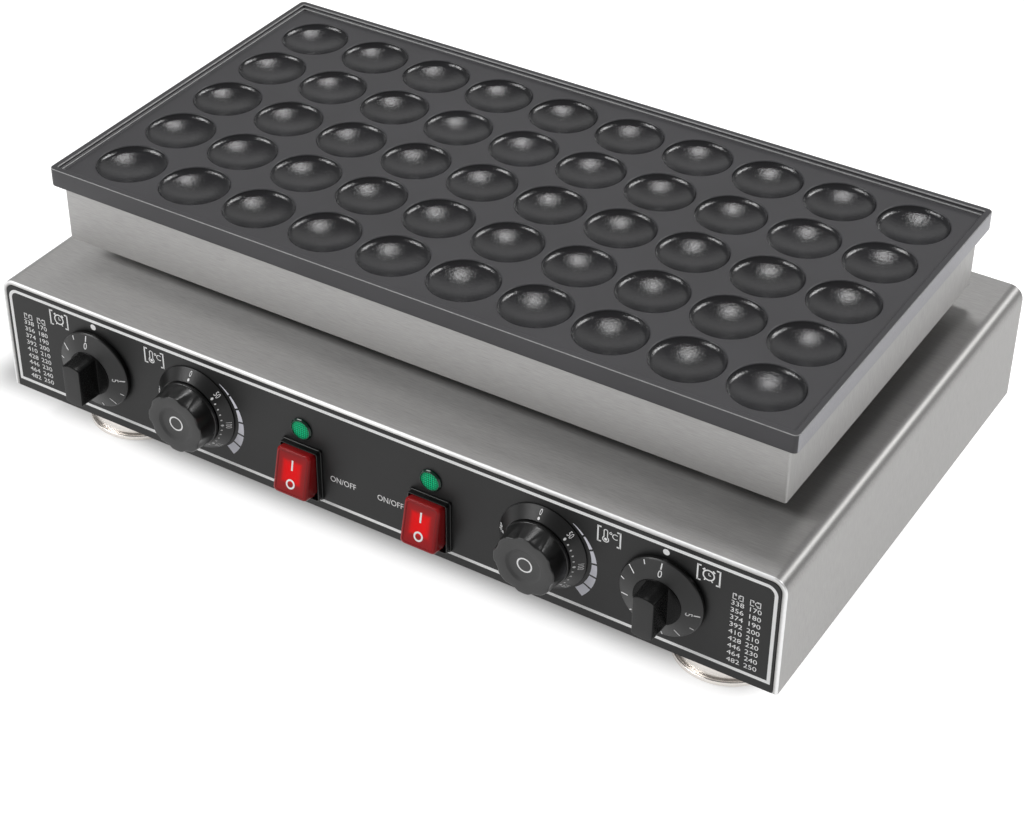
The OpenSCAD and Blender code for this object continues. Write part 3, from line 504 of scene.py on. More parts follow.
def makePlate(p):
    # the rim starts on the cell block's own edge points and ends on a flat underside
    cellPoints, cellFaces, inCup, lip = plateCells(p)
    place, way = rimLoop(p)
    faceZ = plateHigh.z - p["rimHeight"]
    half = np.array([plateHigh.x - plateLow.x, plateHigh.y - plateLow.y]) / 2
    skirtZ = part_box("heater_housing")[1].z
    profile, outer, inner, skirt = rimProfile(p, plateHigh.z - skirtZ)
    corner = np.clip(p["cornerRadius"] - p["cornerShrink"] * profile[:, 0], p["cornerLeast"], None)
    core = half - (profile[:, 0] + corner)[:, None]
    loops = lifted(core[:, None, :] * place + corner[:, None, None] * way, profile[:, 1])
    block = np.array([p["cols"], p["rows"]]) * p["pitch"] / 2
    first = lifted((place * block)[None], np.zeros(1))
    last = loops[-1:].copy()
    last[..., 2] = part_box("tie_rods")[1].z - p["rodReach"] - faceZ
    loops = np.concatenate([first, loops, last])
    rimFaces = gridQuads(len(loops), len(place)) + len(cellPoints)
    under = np.arange(len(place)) + len(cellPoints) + (len(loops) - 1) * len(place)
    points = np.concatenate([cellPoints, loops.reshape(-1, 3)])
    points += [(plateHigh.x + plateLow.x) / 2, (plateHigh.y + plateLow.y) / 2, faceZ]
    bare = np.append(False, skirt)[:, None] & (np.abs(way[:, 0]) > 0.75)  # machined ends, left and right
    pick = np.concatenate([inCup, np.where(bare, 2, 0).ravel(), [0]])
    litInnerEdges = (way[:, 1] > 0.4) | (way[:, 0] < -0.4)  # inner edges at the back and left, which get the painted highlight
    # outer edges all round and the inner edges at the back and left are polished and paler, which paints their
    # highlights
    polishAndPaintedHighlight = outer[:, None] | inner[:, None] & litInnerEdges
    bright = np.concatenate([lip, np.pad(polishAndPaintedHighlight, ((1, 1), (0, 0))).ravel()])
    addPiece("bakingPlate", points, [*cellFaces, *rimFaces, under], [flatCoating, cupCoatingPaintedShade, bareEdge], "base",
             ["baking_plate"], pick=pick, marks={"polishAndPaintedHighlight": bright})


makePlate(plate)
print("baking plate made")


# Base cover: a hemmed sheet profile carried over the arch of the front outline
cover = {
    "sheet": 1.5 * mm,
    "hem": 3 * mm,
    "hemLength": 10 * mm,
    "hemRound": 0.9 * mm,
    "soft": 0.3 * mm,
    "bendRadius": 9.5 * mm,
    "bendGuard": 1 * mm,  # rows that keep the flats flat
    "rearLip": 14 * mm,
    "flangeInset": 22 * mm,
}


def coverPath(p):
    # foot, up the left side, round two bends, down the right side: points and outward directions
    half, r = baseHigh.x, p["bendRadius"]
    flat = r + p["bendGuard"]
    arc = ray(np.radians(np.linspace(180, 90, 15)))
    left = np.concatenate([
        [(-half, baseLow.z), (-half, baseHigh.z - flat)],
        np.array([-half + r, baseHigh.z - r]) + r * arc,
    ])
    top = np.linspace(flat - half, half - flat, 9)
    top = np.stack([top, np.full(len(top), baseHigh.z)], -1)
    leftWay = np.concatenate([[(-1, 0)] * 2, arc])
    mirror = [-1, 1]
    points = np.concatenate([left, top, (left * mirror)[::-1]])
    return points, np.concatenate([leftWay, [(0, 1)] * len(top), (leftWay * mirror)[::-1]])


def makeCover(p):
    # closed profile of inset and depth, with a thick turned edge in front and a lip behind
    points, way = coverPath(p)
    front, rear = panelY, baseHigh.y
    r, soft, hem, sheet, lip = p["hemRound"], p["soft"], p["hem"], p["sheet"], p["rearLip"]
    edge = quarterTurn((r, front + r), r, 180, 5)
    inner = [
        (hem - soft, front),
        (hem, front + soft),
        (hem, front + p["hemLength"]),
        (sheet, front + p["hemLength"]),
        (sheet, rear - sheet),
        (lip, rear - sheet),
        (lip, rear),
    ]
    profile = np.concatenate([edge, inner, quarterTurn((r, rear - r), r, 90, 5), [(0, front + r + soft)]])
    # insets deeper than the bend would cross over, so the lip keeps square inner corners
    inset = profile[:, 0]
    grid = points[:, None, :] - inset[:, None] * way[:, None, :]
    x = np.clip(grid[..., 0], inset - baseHigh.x, baseHigh.x - inset)
    z = np.minimum(grid[..., 1], baseHigh.z - inset)
    rows, cols = x.shape
    full = np.stack([x, np.broadcast_to(profile[:, 1], x.shape), z], -1)
    faces = [*gridQuads(rows, cols), np.arange(cols), np.arange(cols) + (rows - 1) * cols]
    # two flanges turned in along the lower edges
    y0, y1 = front + p["flangeInset"], rear - p["flangeInset"]
    flanges = []
    box = np.array([(0, 1, 2, 3), (4, 5, 6, 7), (0, 1, 5, 4), (1, 2, 6, 5), (2, 3, 7, 6), (3, 0, 4, 7)])
    for number, sign in enumerate((-1, 1)):
        x0, x1 = sign * (baseHigh.x - lip), sign * (baseHigh.x - sheet)
        ring = [(x0, y0), (x1, y0), (x1, y1), (x0, y1)]
        flanges += [(*corner, z) for z in (baseLow.z, baseLow.z + sheet) for corner in ring]
        faces += [*(box + rows * cols + 8 * number)]
    # the round of the turned front edge takes the pale edge colour, a painted highlight
    bright = np.zeros((rows, cols))
    bright[:, :len(edge)] = 1
    bright = np.append(bright, np.zeros(len(flanges)))
    addPiece("baseCover", np.concatenate([full.reshape(-1, 3), flanges]), faces, [coverSteel], "base",
             ["base_cover"], 35, marks={"polishAndPaintedHighlight": bright})


makeCover(cover)
print("base cover made")


# Round and lobed controls: a radius for every angle (clockwise from the top) and profile row
def polarPiece(name, centre, radius, out, materials, body, standsFor, rowPick, marks=None):
    # radius and out are arrays of rows by angles; both ends close on the axis
    rows, cols = radius.shape
    angle = fullTurn(cols)
    full = onPanel(centre[0] + radius * np.sin(angle), centre[2] + radius * np.cos(angle), out)
    addPiece(name, full, gridQuads(rows, cols), materials, body, standsFor,
             pick=np.repeat(rowPick, cols), marks=marks)


knob = {
    "footOut": 7.6 * mm,
    "footTop": 9.8 * mm,
    "footRadius": 22.2 * mm,
    "footSoft": 0.3 * mm,
    "bodyLift": 0.5 * mm,
    "bodyRadius": 21.8 * mm,
    "faceOut": 22.5 * mm,
    "faceRadius": 20.4 * mm,
    "edge": 0.8 * mm,
    "dishRadius": 11.8 * mm,
    "dishDepth": 1.6 * mm,
    "dishCurve": ((0.5, 0), (0.1, -0.12), (-0.9, -1.25), (-2.0, -1.55)),  # mm out and up from the dish edge
    "stemRadius": 17 * mm,
    "lobes": 8,
    "scallopRadius": 11 * mm,
    "scallopCut": 1.3 * mm,
    "scallopLean": 14.0,  # degrees, outwards going back
    "scallopBlend": 0.25 * mm,
    "steps": 240,
}


def makeKnob(side, p):
    # round foot, body cut by eight leaning cylinders that run out above the foot, dished face
    foot, soft, face, faceOut = p["footRadius"], p["footSoft"], p["faceRadius"], p["faceOut"]
    edge = quarterTurn((face - p["edge"], faceOut - p["edge"]), p["edge"], 0)
    share = np.linspace(0, 1, 10)[:-1]
    bodyFoot = p["footTop"] + p["bodyLift"]
    rise = bodyFoot + share * (faceOut - p["edge"] - bodyFoot)
    slope = p["bodyRadius"] + share * (face - p["bodyRadius"])
    dishFloor = faceOut - p["dishDepth"]
    below = [
        [(0, p["footOut"]), (p["stemRadius"], p["footOut"]), (foot - soft, p["footOut"])],
        [(foot, p["footOut"] + soft), (foot, p["footTop"] - soft), (foot - soft, p["footTop"])],
        np.stack([slope, rise], -1),
    ]
    dish = np.array(p["dishCurve"]) * mm + [p["dishRadius"], faceOut]
    profile = np.concatenate([*below, edge, dish, [(p["dishRadius"] / 2, dishFloor), (0, dishFloor)]])
    angle = fullTurn(p["steps"])
    pitch = 2 * math.pi / p["lobes"]
    off = (angle % pitch) - pitch / 2
    back = (faceOut - profile[:, 1])[:, None]
    far = face + p["scallopRadius"] - p["scallopCut"] + back * math.tan(math.radians(p["scallopLean"]))
    root = np.clip(p["scallopRadius"] ** 2 - (far * np.sin(off)) ** 2, 0, None)
    flute = np.where(root > 0, far * np.cos(off) - np.sqrt(root), 1.0)  # 1 m: no cut there
    plain = profile[:, :1] + 0 * angle
    inset = face - np.minimum(profile[:, :1], face)
    cut = softMin(plain, flute - inset, p["scallopBlend"])
    fluted = (profile[:, 0] > p["dishRadius"] + mm) & (profile[:, 1] > p["footTop"])
    radius = np.where(fluted[:, None], cut, plain)
    onFace = np.arange(len(profile) - 1) >= sum(map(len, below)) + len(edge) - 2
    polarPiece("thermostatKnob_" + side, axisAt["thermostat_turn_" + side], radius, profile[:, 1:],
               [knobGloss, knobSatin], "thermostat_knob_" + side, ["thermostat_knob_" + side], onFace)


grip = {
    "foot": 8 * mm,
    "hubRadius": 15.5 * mm,
    "hubTop": 0.8 * mm,
    "hubSoft": 0.2 * mm,
    "barHalf": 7.25 * mm,
    "barGap": 0.3 * mm,  # bar ends in from the hub's edge
    "barLeast": 0.25 * mm,
    "barBlend": 0.25 * mm,
    "front": 25 * mm,
    "edge": 0.6 * mm,
    "taper": 0.5 * mm,
    "steps": 288,
}


def makeGrip(side, p):
    # a flat hub disc and on it a bar whose ends follow the disc
    angle = fullTurn(p["steps"])
    height, top, edge, hub, soft = p["front"] - p["foot"], p["hubTop"], p["edge"], p["hubRadius"], p["hubSoft"]
    tall = np.append(top + np.array([0, 0.15, 0.5]) * mm, np.linspace(top + 2 * mm, height - edge, 5))
    turn = np.radians(np.linspace(0, 90, 5))[1:]
    rise = np.append(tall, height - edge * (1 - np.sin(turn)))
    inset = np.concatenate([inMm(-0.3, -0.1), np.zeros(len(tall) - 2), edge * (1 - np.cos(turn))])
    inset = (inset + p["taper"] * rise / height)[:, None]
    flank = (p["barHalf"] - inset) / np.maximum(np.abs(np.sin(angle)), 1e-3)
    bar = np.minimum(softMin(hub - p["barGap"] - inset, flank, p["barBlend"]), hub - p["barLeast"])
    disc = hub - soft * np.array([1, 0, 0, 1])[:, None] + 0 * angle
    radius = np.concatenate([0 * disc[:1], disc, bar, bar[-1:] / 2, 0 * bar[:1]])
    rise = np.concatenate([[0, 0, soft, top - soft, top], rise, [height, height]])
    onFace = np.arange(len(radius) - 1) >= len(radius) - 4
    polarPiece("timerGrip_" + side, axisAt["timer_turn_" + side], radius, (p["foot"] + rise)[:, None],
               [gripGloss, gripFace], "timer_knob_" + side, ["timer_grip_" + side], onFace)


lens = {
    "flange": 7.6 * mm,
    "flangeOut": 1.1 * mm,
    "flangeSoft": 0.2 * mm,
    "radius": 6.2 * mm,
    "crown": 1.75 * mm,
    "crownDrop": 0.2 * mm,
    "ringTop": 1.9 * mm,
    "ringCurve": ((0.65, -0.06), (0.45, 0), (0.25, -0.06), (0.1, -0.5)),  # mm out from the lens, up from ringTop
    "ribPitch": 1.5 * mm,
    "ribHeight": 0.22 * mm,
    "spokes": 96,
}


def makeLens(side, p):
    # raised ring round a low crown; the crown carries a lattice of ribs, the sum of two cosine waves
    low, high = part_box("lamp_lens_" + side)
    centre = ((low.x + high.x) / 2, panelY, (low.z + high.z) / 2)
    angle = fullTurn(p["spokes"])
    share = np.linspace(1, 0, 31)[:, None]
    wave = 2 * math.pi * p["radius"] / p["ribPitch"]
    ribs = np.cos(wave * share * np.sin(angle)) + np.cos(wave * share * np.cos(angle))
    dome = p["crown"] - p["crownDrop"] * share**2 + p["ribHeight"] * (ribs - 2) / 2
    flange, out, soft = p["flange"], p["flangeOut"], p["flangeSoft"]
    ring = np.array([(0, 0), (flange, 0), (flange, out - soft), (flange - soft, out)])
    ring = np.concatenate([ring, np.array(p["ringCurve"]) * mm + [p["radius"], p["ringTop"]]])
    radius = np.concatenate([ring[:, :1] + 0 * angle, p["radius"] * share + 0 * angle])
    out = np.concatenate([ring[:, 1:] + 0 * angle, dome])
    inLens = np.arange(len(radius) - 1) >= len(ring) - 1
    glow = np.clip(1.7 - 1.2 * share, 0, 1) * (0.55 + 0.3 * ribs)  # the lamp's own light, weaker towards the ring; its dimming between ribs is painted shade that draws the lattice
    lit = np.concatenate([np.zeros((len(ring), p["spokes"])), glow])
    polarPiece("lampLens_" + side, centre, radius, out, [lampRing, lampGreen], "base",
               ["lamp_lens_" + side], inLens, {"window": lit})


for side in sides:
    makeKnob(side, knob)
    makeGrip(side, grip)
    makeLens(side, lens)
print("knobs, grips and lenses made")


# Rocker and its case: loops of a rectangle with round corners, one for each row
def roundLoop(halfX, halfZ, radius, steps=7):
    # x and z of a rectangle with round corners, rows by points
    halfX, halfZ, radius = (np.asarray(v, float)[:, None] for v in (halfX, halfZ, radius))
    radius = np.minimum(radius, np.minimum(halfX, halfZ))
    c, s = ray(np.radians(np.linspace(0, 90, steps))).T
    coreX, coreZ = halfX - radius, halfZ - radius
    x = [coreX + radius * c, -coreX - radius * s, -coreX - radius * c, coreX + radius * s]
    z = [coreZ + radius * s, coreZ + radius * c, -coreZ - radius * s, -coreZ - radius * c]
    return np.concatenate(x, 1), np.concatenate(z, 1)


rocker = {
    "width": 25.2 * mm,
    "height": 31 * mm,
    "front": 14.6 * mm,  # from the pin
    "back": 5 * mm,
    "heel": 3 * mm,
    "corner": 2.8 * mm,
    "edge": 1.9 * mm,
    # share of the window's colour and glow on the round rim, a painted highlight
    "rimPaintedHighlight": 0.12,
    "insert": inMm(10.2, 13.2),  # half sizes of the set-in face
    "insertDrop": 0.25 * mm,
    "window": inMm(6.6, 7.3),  # half sizes of the lit window
    "windowUp": 1.0 * mm,
    "windowSoft": 1.0 * mm,  # half width of the soft edge of the light
    "dip": 0.35 * mm,  # hollow of the pressed face
    "tilt": -13.5,  # degrees, upper end in
    "barMark": inMm(5.6, 1.2, 7.0),  # up, width, height
    "ringMark": inMm(-7.1, 2.1, 3.3),  # up, inner and outer radius
}


def rockerPlace(side, x, up, out, p):
    # cap coordinates from the pin, turned by the tilt
    pin = axisAt["rocker_tip_" + side]
    c, s = ray(math.radians(p["tilt"]))
    x, up, out = np.broadcast_arrays(x, up * c - out * s, up * s + out * c)
    return np.stack([pin.x + x, pin.y - out, pin.z + up], -1)


def makeRocker(side, p):
    # hollow window, set-in face, round edge, straight sides, then in to a heel behind the pin:
    # half width, half height, corner, out and light of each row, where the light is a painted glow in the window
    # and a painted highlight on the rim
    a, b, e, corner = p["width"] / 2, p["height"] / 2, p["edge"], p["corner"]
    front, sunk, dip, heel = p["front"], p["front"] - p["insertDrop"], p["dip"], p["heel"]
    (wx, wz), (ix, iz), soft = p["window"], p["insert"], p["windowSoft"]
    ledge = 0.15 * mm
    # the window rows' light mixes in the brighter red and a painted glow
    face = [
        (0, 0, 0, sunk - dip, 1),
        (wx / 2, wz / 2, 0.2 * mm, sunk - 0.8 * dip, 1),
        (wx - soft, wz - soft, 0.5 * mm, sunk - 0.3 * dip, 0.85),
        (wx + soft, wz + soft, 0.8 * mm, sunk - 0.2 * dip, 0.22),
        (ix, iz, 1.2 * mm, sunk, 0.08),
        (ix + ledge, iz + ledge, 1.3 * mm, front, 0),
        (a - e, b - e, corner - 0.6 * mm, front, 0),
    ]
    turn = ray(np.radians(np.linspace(90, 0, 6)))[1:]
    # the rim rows take a little of the window's colour and glow, a painted highlight
    rim = [(a - e + e * c, b - e + e * c, corner, front - e + e * s, p["rimPaintedHighlight"]) for c, s in turn]
    rear = [
        (a, b, corner, p["back"], 0),
        (a, b / 2, mm, 0.4 * mm - heel, 0),
        (a, b / 2, mm, -heel, 0),
        (0, 0, 0, -heel, 0),
    ]
    halfX, halfZ, corner, out, lit = np.array(face + rim + rear).T
    x, up = roundLoop(halfX, halfZ, corner)
    up[:4] += p["windowUp"]
    full = rockerPlace(side, x, up, out[:, None], p)
    addPiece("rockerCap_" + side, full, gridQuads(*x.shape), [rockerRedPaintedGlow], "rocker_" + side,
             ["rocker_" + side], marks={"window": np.repeat(lit, x.shape[1])})


case = {
    "cavity": inMm(12.9, 17.6),  # half sizes
    "barrel": inMm(13.9, 18.6),
    "flange": inMm(14.6, 19.1),
    "collar": inMm(13.8, 18.3),
    "flangeOut": 1.8 * mm,
    "collarOut": 4.9 * mm,
    "floor": -12 * mm,
    "back": -24 * mm,
    "soft": 0.3 * mm,
}


def makeCase(side, p):
    # barrel behind the panel, flange and raised collar on it, open cavity in the middle:
    # half width, half height, corner and out of each row
    pin = axisAt["rocker_tip_" + side]
    soft, flangeOut, collarOut = p["soft"], p["flangeOut"], p["collarOut"]
    barrel, flange, collar, cavity = (np.array(p[part]) for part in ("barrel", "flange", "collar", "cavity"))
    rows = [
        (0, 0, 0, p["back"]),
        (*barrel, 1 * mm, p["back"]),
        (*barrel, 1 * mm, 0),
        (*flange, 2 * mm, 0),
        (*flange, 2 * mm, flangeOut - soft),
        (*flange - soft, 1.8 * mm, flangeOut),
        (*collar, 1.6 * mm, flangeOut),
        (*collar, 1.6 * mm, collarOut - soft),
        (*collar - 0.3 * soft, 1.5 * mm, collarOut - 0.3 * soft),
        (*collar - soft, 1.4 * mm, collarOut),
        (*cavity + soft, 1 * mm, collarOut),
        (*cavity, 0.8 * mm, collarOut - soft),
        (*cavity, 0.8 * mm, p["floor"]),
        (0, 0, 0, p["floor"]),
    ]
    halfX, halfZ, corner, out = np.array(rows, float).T
    x, z = roundLoop(halfX, halfZ, corner)
    full = onPanel(pin.x + x, pin.z + z, out[:, None])
    bright = np.zeros(len(rows))
    bright[8:10] = 1  # painted highlight on the outer edge of the collar, which is also made glossier
    addPiece("switchCase_" + side, full, gridQuads(*x.shape), [switchCase], "base",
             ["switch_body_" + side], marks={"polishAndPaintedHighlight": np.repeat(bright, x.shape[1])})


for side in sides:
    makeRocker(side, rocker)
    makeCase(side, case)
print("switches made")


# Feet: one turned profile, wide flange below a groove and a drum
foot = {
    "flange": 34.8 * mm,
    "drum": 33.4 * mm,
    "clear": 0.8 * mm,
    "flangeTop": 4.5 * mm,
    "flangeRound": inMm(1.1, 0.9),  # lower and upper edge
    "groove": 0.7 * mm,
    "grooveSoft": 0.2 * mm,
    "shoulder": 3 * mm,
    "shoulderDown": 9 * mm,
    "neckGap": 0.5 * mm,
    "padRadius": 30.8 * mm,
    "padTop": 2.2 * mm,
    "steps": 96,
}


def makeFoot(name, p):
    low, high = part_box(name)
    top = high.z
    middle = ((low.x + high.x) / 2, (low.y + high.y) / 2)
    flange, flangeTop, drum, groove = p["flange"], p["flangeTop"], p["drum"], p["groove"]
    lower, upper = p["flangeRound"]
    core = drum - p["shoulder"]
    profile = np.concatenate([
        [(0, p["padTop"]), (p["padRadius"], p["padTop"]), (p["padRadius"], p["clear"])],
        quarterTurn((flange - lower, p["clear"] + lower), lower, 270),
        quarterTurn((flange - upper, flangeTop - upper), upper, 0),
        [(drum - groove, flangeTop), (drum - groove, flangeTop + groove)],
        [(drum - p["grooveSoft"], flangeTop + 2 * groove), (drum, flangeTop + 2.6 * groove)],
        quarterTurn((core, top - p["shoulderDown"]), p["shoulder"], 0, 8),
        [(core - p["neckGap"], top), (0, top)],
    ])
    full = lifted(profile[:, :1, None] * ray(fullTurn(p["steps"])) + middle, profile[:, 1])
    addPiece(name.replace("_", "") + "Turned", full, gridQuads(len(profile), p["steps"]), [footMetal], "base",
             [name])


for end in ("front", "rear"):
    for side in sides:
        makeFoot(f"foot_{end}_{side}", foot)
print("feet made")


# Print: flat shapes in panel coordinates (x right, z up), given a little thickness
ink = {
    "thick": 0.03 * mm,
    "lift": 0.01 * mm,
    "coneLift": 0.05 * mm,
    "capLift": 0.06 * mm,
    "capHeight": 0.72,  # of a letter, in font sizes
}


def bar(x, z, wide, tall, turn=0.0):
    # rectangle about its middle, turned clockwise
    corner = np.array([(-1, -1), (1, -1), (1, 1), (-1, 1)]) * [wide / 2, tall / 2]
    return turned(corner, -turn) + [x, z], [(0, 1, 2, 3)]


def band(x, z, inner, outer, start=0, end=360, steps=12):
    # part of a ring, angles clockwise from the top, each radius fixed or from start to end
    angle = np.radians(np.linspace(start, end, steps + 1))
    way = np.stack([np.sin(angle), np.cos(angle)], -1)
    inner, outer = (np.linspace(*np.broadcast_to(r, 2), steps + 1)[:, None] for r in (inner, outer))
    i = np.arange(steps)
    faces = np.stack([i, i + steps + 1, i + steps + 2, i + 1], -1)
    return np.concatenate([way * inner, way * outer]) + [x, z], faces.tolist()


def dot(x, z, radius, steps=20):
    return radius * ray(fullTurn(steps)) + [x, z], [tuple(range(steps))]


def letters(text, x, z, tall, turn=0.0, squeeze=1.0):
    # filled letters as a mesh, centred on a point, turned clockwise
    curve = bpy.data.curves.new("letters", "FONT")
    curve.body = text
    curve.align_x = "CENTER"
    curve.align_y = "CENTER"
    curve.size = tall / ink["capHeight"]
    curve.resolution_u = 3
    holder = bpy.data.objects.new("letters", curve)
    mesh = bpy.data.meshes.new_from_object(holder)
    flat = np.zeros(len(mesh.vertices) * 3)
    mesh.vertices.foreach_get("co", flat)
    flat = flat.reshape(-1, 3)[:, :2] * [squeeze, 1]
    faces = [tuple(face.vertices) for face in mesh.polygons]
    bpy.data.objects.remove(holder)
    bpy.data.curves.remove(curve)
    bpy.data.meshes.remove(mesh)
    return turned(flat, -turn) + [x, z], faces


def polar(centre, radius, angle):
    a = math.radians(angle)
    return centre[0] + radius * math.sin(a), centre[1] + radius * math.cos(a)


def radialBar(centre, inner, outer, wide, angle):
    x, z = polar(centre, (inner + outer) / 2, angle)
    return bar(x, z, wide, outer - inner, angle)


def printPiece(name, shapes, surface, body, material=whiteInk):
    # joins the shapes, lays them on the surface (out for x and z) and thickens them
    points, faces, count = [], [], 0
    for flat, corners in shapes:
        points.append(flat)
        faces += [[index + count for index in face] for face in corners]
        count += len(flat)
    piece = addObject(name, newMesh(name, surface(*np.concatenate(points).T), faces, [material]))
    thicken = piece.modifiers.new("thickness", "SOLIDIFY")
    thicken.thickness = ink["thick"]
    thicken.offset = 1
    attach(piece, body)


panelPrint = {
    "borderHalf": 275 * mm,
    "borderTop": 5.8 * mm,  # below the top of the base, as all places down
    "borderFoot": 77.3 * mm,
    "borderWide": 2.2 * mm,
    "borderRound": 7 * mm,
    "dotDown": 11.3 * mm,
    "dotRadius": 2.1 * mm,
    "clockAt": inMm(-234.1, 232.4),
    "clockDown": 16.0 * mm,
    "thermometerAt": inMm(-157.3, 169.0),
    "thermometerDown": 16.5 * mm,
    "bracketArm": 2.2 * mm,
    "switchWordAt": inMm(-15.5, 19.0),
    "switchWordDown": 56 * mm,
    "switchWordTall": 4.4 * mm,
    "switchWordSqueeze": 0.86,
    "tableAt": (inMm(-260.8, -250.0), inMm(251.2, 262.0)),
    "tableDown": 23.4 * mm,
    "tablePitch": 5.28 * mm,
    "tableFirst": 0.95,  # pitches from the heading to the first number
    "tableHead": inMm(6.2, 4.2, 0.5),  # width, height and line of the brackets
    "tableUnit": inMm(0.9, 3.0),  # right of the middle, height
    "tableDegree": inMm(-1.3, 1.0, 0.25, 0.55),  # right, up, inner and outer radius
    "tableTall": 3.4 * mm,
    "tableSqueeze": 1.2,
    "celsius": range(170, 260, 10),
    "wedge": (28, 136, 6),  # first and last angle, pieces
    "wedgeGap": 1.2,  # degrees at each end of a piece
    "wedgeThick": inMm(0.3, 6.6),
    "wedgeShift": inMm(3.6, -3.2),
    "wedgeRadius": 32.5 * mm,
}
clock = {
    "frame": inMm(14.0, 11.5, 1.0),  # width, height and line of the brackets
    "face": inMm(3.0, 3.9),
    "hands": inMm(1.8, 1.4, 0.6),  # length up, length right, width
    "bell": (*inMm(4.1, 5.2, 1.8), 42),  # from, to, width, degrees off the top
    "leg": (*inMm(3.8, 5.0, 0.8), 148),
}
thermometer = {
    "frame": inMm(14.6, 11.6, 1.0),
    "stem": inMm(2.2, 1.15, 1.0, 0.6, 4.4),  # left of the middle, half spacing, up, line, length
    "bulb": inMm(-2.6, 1.6, 2.25),  # up, inner and outer radius
    "bulbGap": 32,  # degrees left open on each side of the top
    "bead": 1.05 * mm,
    "cap": inMm(3.2, 0.85, 1.45),
    "degree": inMm(1.0, 2.9, 0.45, 0.95),  # right, up, inner and outer radius
    "unit": inMm(3.7, 1.2, 4.2),  # right, up, height
}


def brackets(x, z, wide, tall, line):
    arm = panelPrint["bracketArm"]
    shapes = []
    for sign in (-1, 1):
        edge = x + sign * wide / 2
        shapes.append(bar(edge, z, line, tall))
        shapes += [bar(edge - sign * arm / 2, z + up * (tall - line) / 2, arm, line) for up in (-1, 1)]
    return shapes


def clockIcon(x, z, p):
    up, right, line = p["hands"]
    shapes = brackets(x, z, *p["frame"])
    shapes.append(band(x, z, *p["face"], steps=32))
    shapes += [bar(x, z + up / 2, line, up), bar(x + right / 2, z, right, line)]
    for *size, angle in (p["bell"], p["leg"]):
        shapes += [radialBar((x, z), *size, sign * angle) for sign in (-1, 1)]
    return shapes


def thermometerIcon(x, z, p):
    left, apart, stemUp, line, length = p["stem"]
    bulbUp, *bulb = p["bulb"]
    capUp, *cap = p["cap"]
    ringRight, ringUp, *ring = p["degree"]
    unitRight, unitUp, tall = p["unit"]
    stem, gap = x - left, p["bulbGap"]
    return [
        *brackets(x, z, *p["frame"]),
        band(stem, z + bulbUp, *bulb, gap, 360 - gap, 24),
        dot(stem, z + bulbUp, p["bead"]),
        *(bar(stem + sign * apart, z + stemUp, line, length) for sign in (-1, 1)),
        band(stem, z + capUp, *cap, -90, 90),
        band(x + ringRight, z + ringUp, *ring, steps=16),
        letters("C", x + unitRight, z + unitUp, tall),
    ]


def borderShapes(p, topZ):
    # a band round three plain edges and two round upper corners
    half, wide, r = p["borderHalf"], p["borderWide"], p["borderRound"]
    high, foot = topZ - p["borderTop"], topZ - p["borderFoot"]
    turn = np.radians(np.linspace(-90, 0, 13))
    loops = []
    for inset in (0, wide):
        arc = (r - inset) * np.stack([np.sin(turn), np.cos(turn)], -1) + [-half + r, high - r]
        left = np.concatenate([[[-half + inset, foot + inset]], arc])
        loops.append(np.concatenate([left, (left * [-1, 1])[::-1]]))
    count = len(loops[0])
    i = np.arange(count)
    faces = np.stack([i, (i + 1) % count, (i + 1) % count + count, i + count], -1)
    return np.concatenate(loops), faces[:, ::-1].tolist()


def tableColumn(x, z, unit, p):
    # heading in brackets over a column of temperatures
    unitRight, unitTall = p["tableUnit"]
    right, up, *ring = p["tableDegree"]
    shapes = brackets(x, z, *p["tableHead"])
    shapes += [letters(unit, x + unitRight, z, unitTall), band(x + right, z + up, *ring)]
    for row, celsius in enumerate(p["celsius"]):
        value = celsius if unit == "C" else celsius * 9 // 5 + 32
        down = (row + p["tableFirst"]) * p["tablePitch"]
        shapes.append(letters(str(value), x, z - down, p["tableTall"], 0, p["tableSqueeze"]))
    return shapes


def wedgeShapes(centre, p):
    # pieces of a ring that gets thicker clockwise
    first, last, count = p["wedge"]
    x, z = centre.x + p["wedgeShift"][0], centre.z + p["wedgeShift"][1]
    edge = np.linspace(first, last, count + 1)
    outer, gap = p["wedgeRadius"], p["wedgeGap"]
    inner = outer - np.linspace(*p["wedgeThick"], count + 1)
    return [band(x, z, inner[i:i + 2], outer, edge[i] + gap, edge[i + 1] - gap, 6) for i in range(count)]


def makePanelPrint(p):
    topZ = baseHigh.z
    shapes, wedges = [borderShapes(p, topZ)], []
    for number, side in enumerate(sides):
        shapes.append(dot(axisAt["timer_turn_" + side].x, topZ - p["dotDown"], p["dotRadius"], 28))
        shapes += clockIcon(p["clockAt"][number], topZ - p["clockDown"], clock)
        shapes += thermometerIcon(p["thermometerAt"][number], topZ - p["thermometerDown"], thermometer)
        shapes.append(letters("ON/OFF", p["switchWordAt"][number], topZ - p["switchWordDown"],
                              p["switchWordTall"], 0, p["switchWordSqueeze"]))
        for x, unit in zip(p["tableAt"][number], "FC"):
            shapes += tableColumn(x, topZ - p["tableDown"], unit, p)
        wedges += wedgeShapes(axisAt["thermostat_turn_" + side], p)
    lift = ink["lift"]
    printPiece("panelPrint", shapes, lambda x, z: onPanel(x, z, lift), "base")
    printPiece("panelWedges", wedges, lambda x, z: onPanel(x, z, lift), "base", wedgeInk)


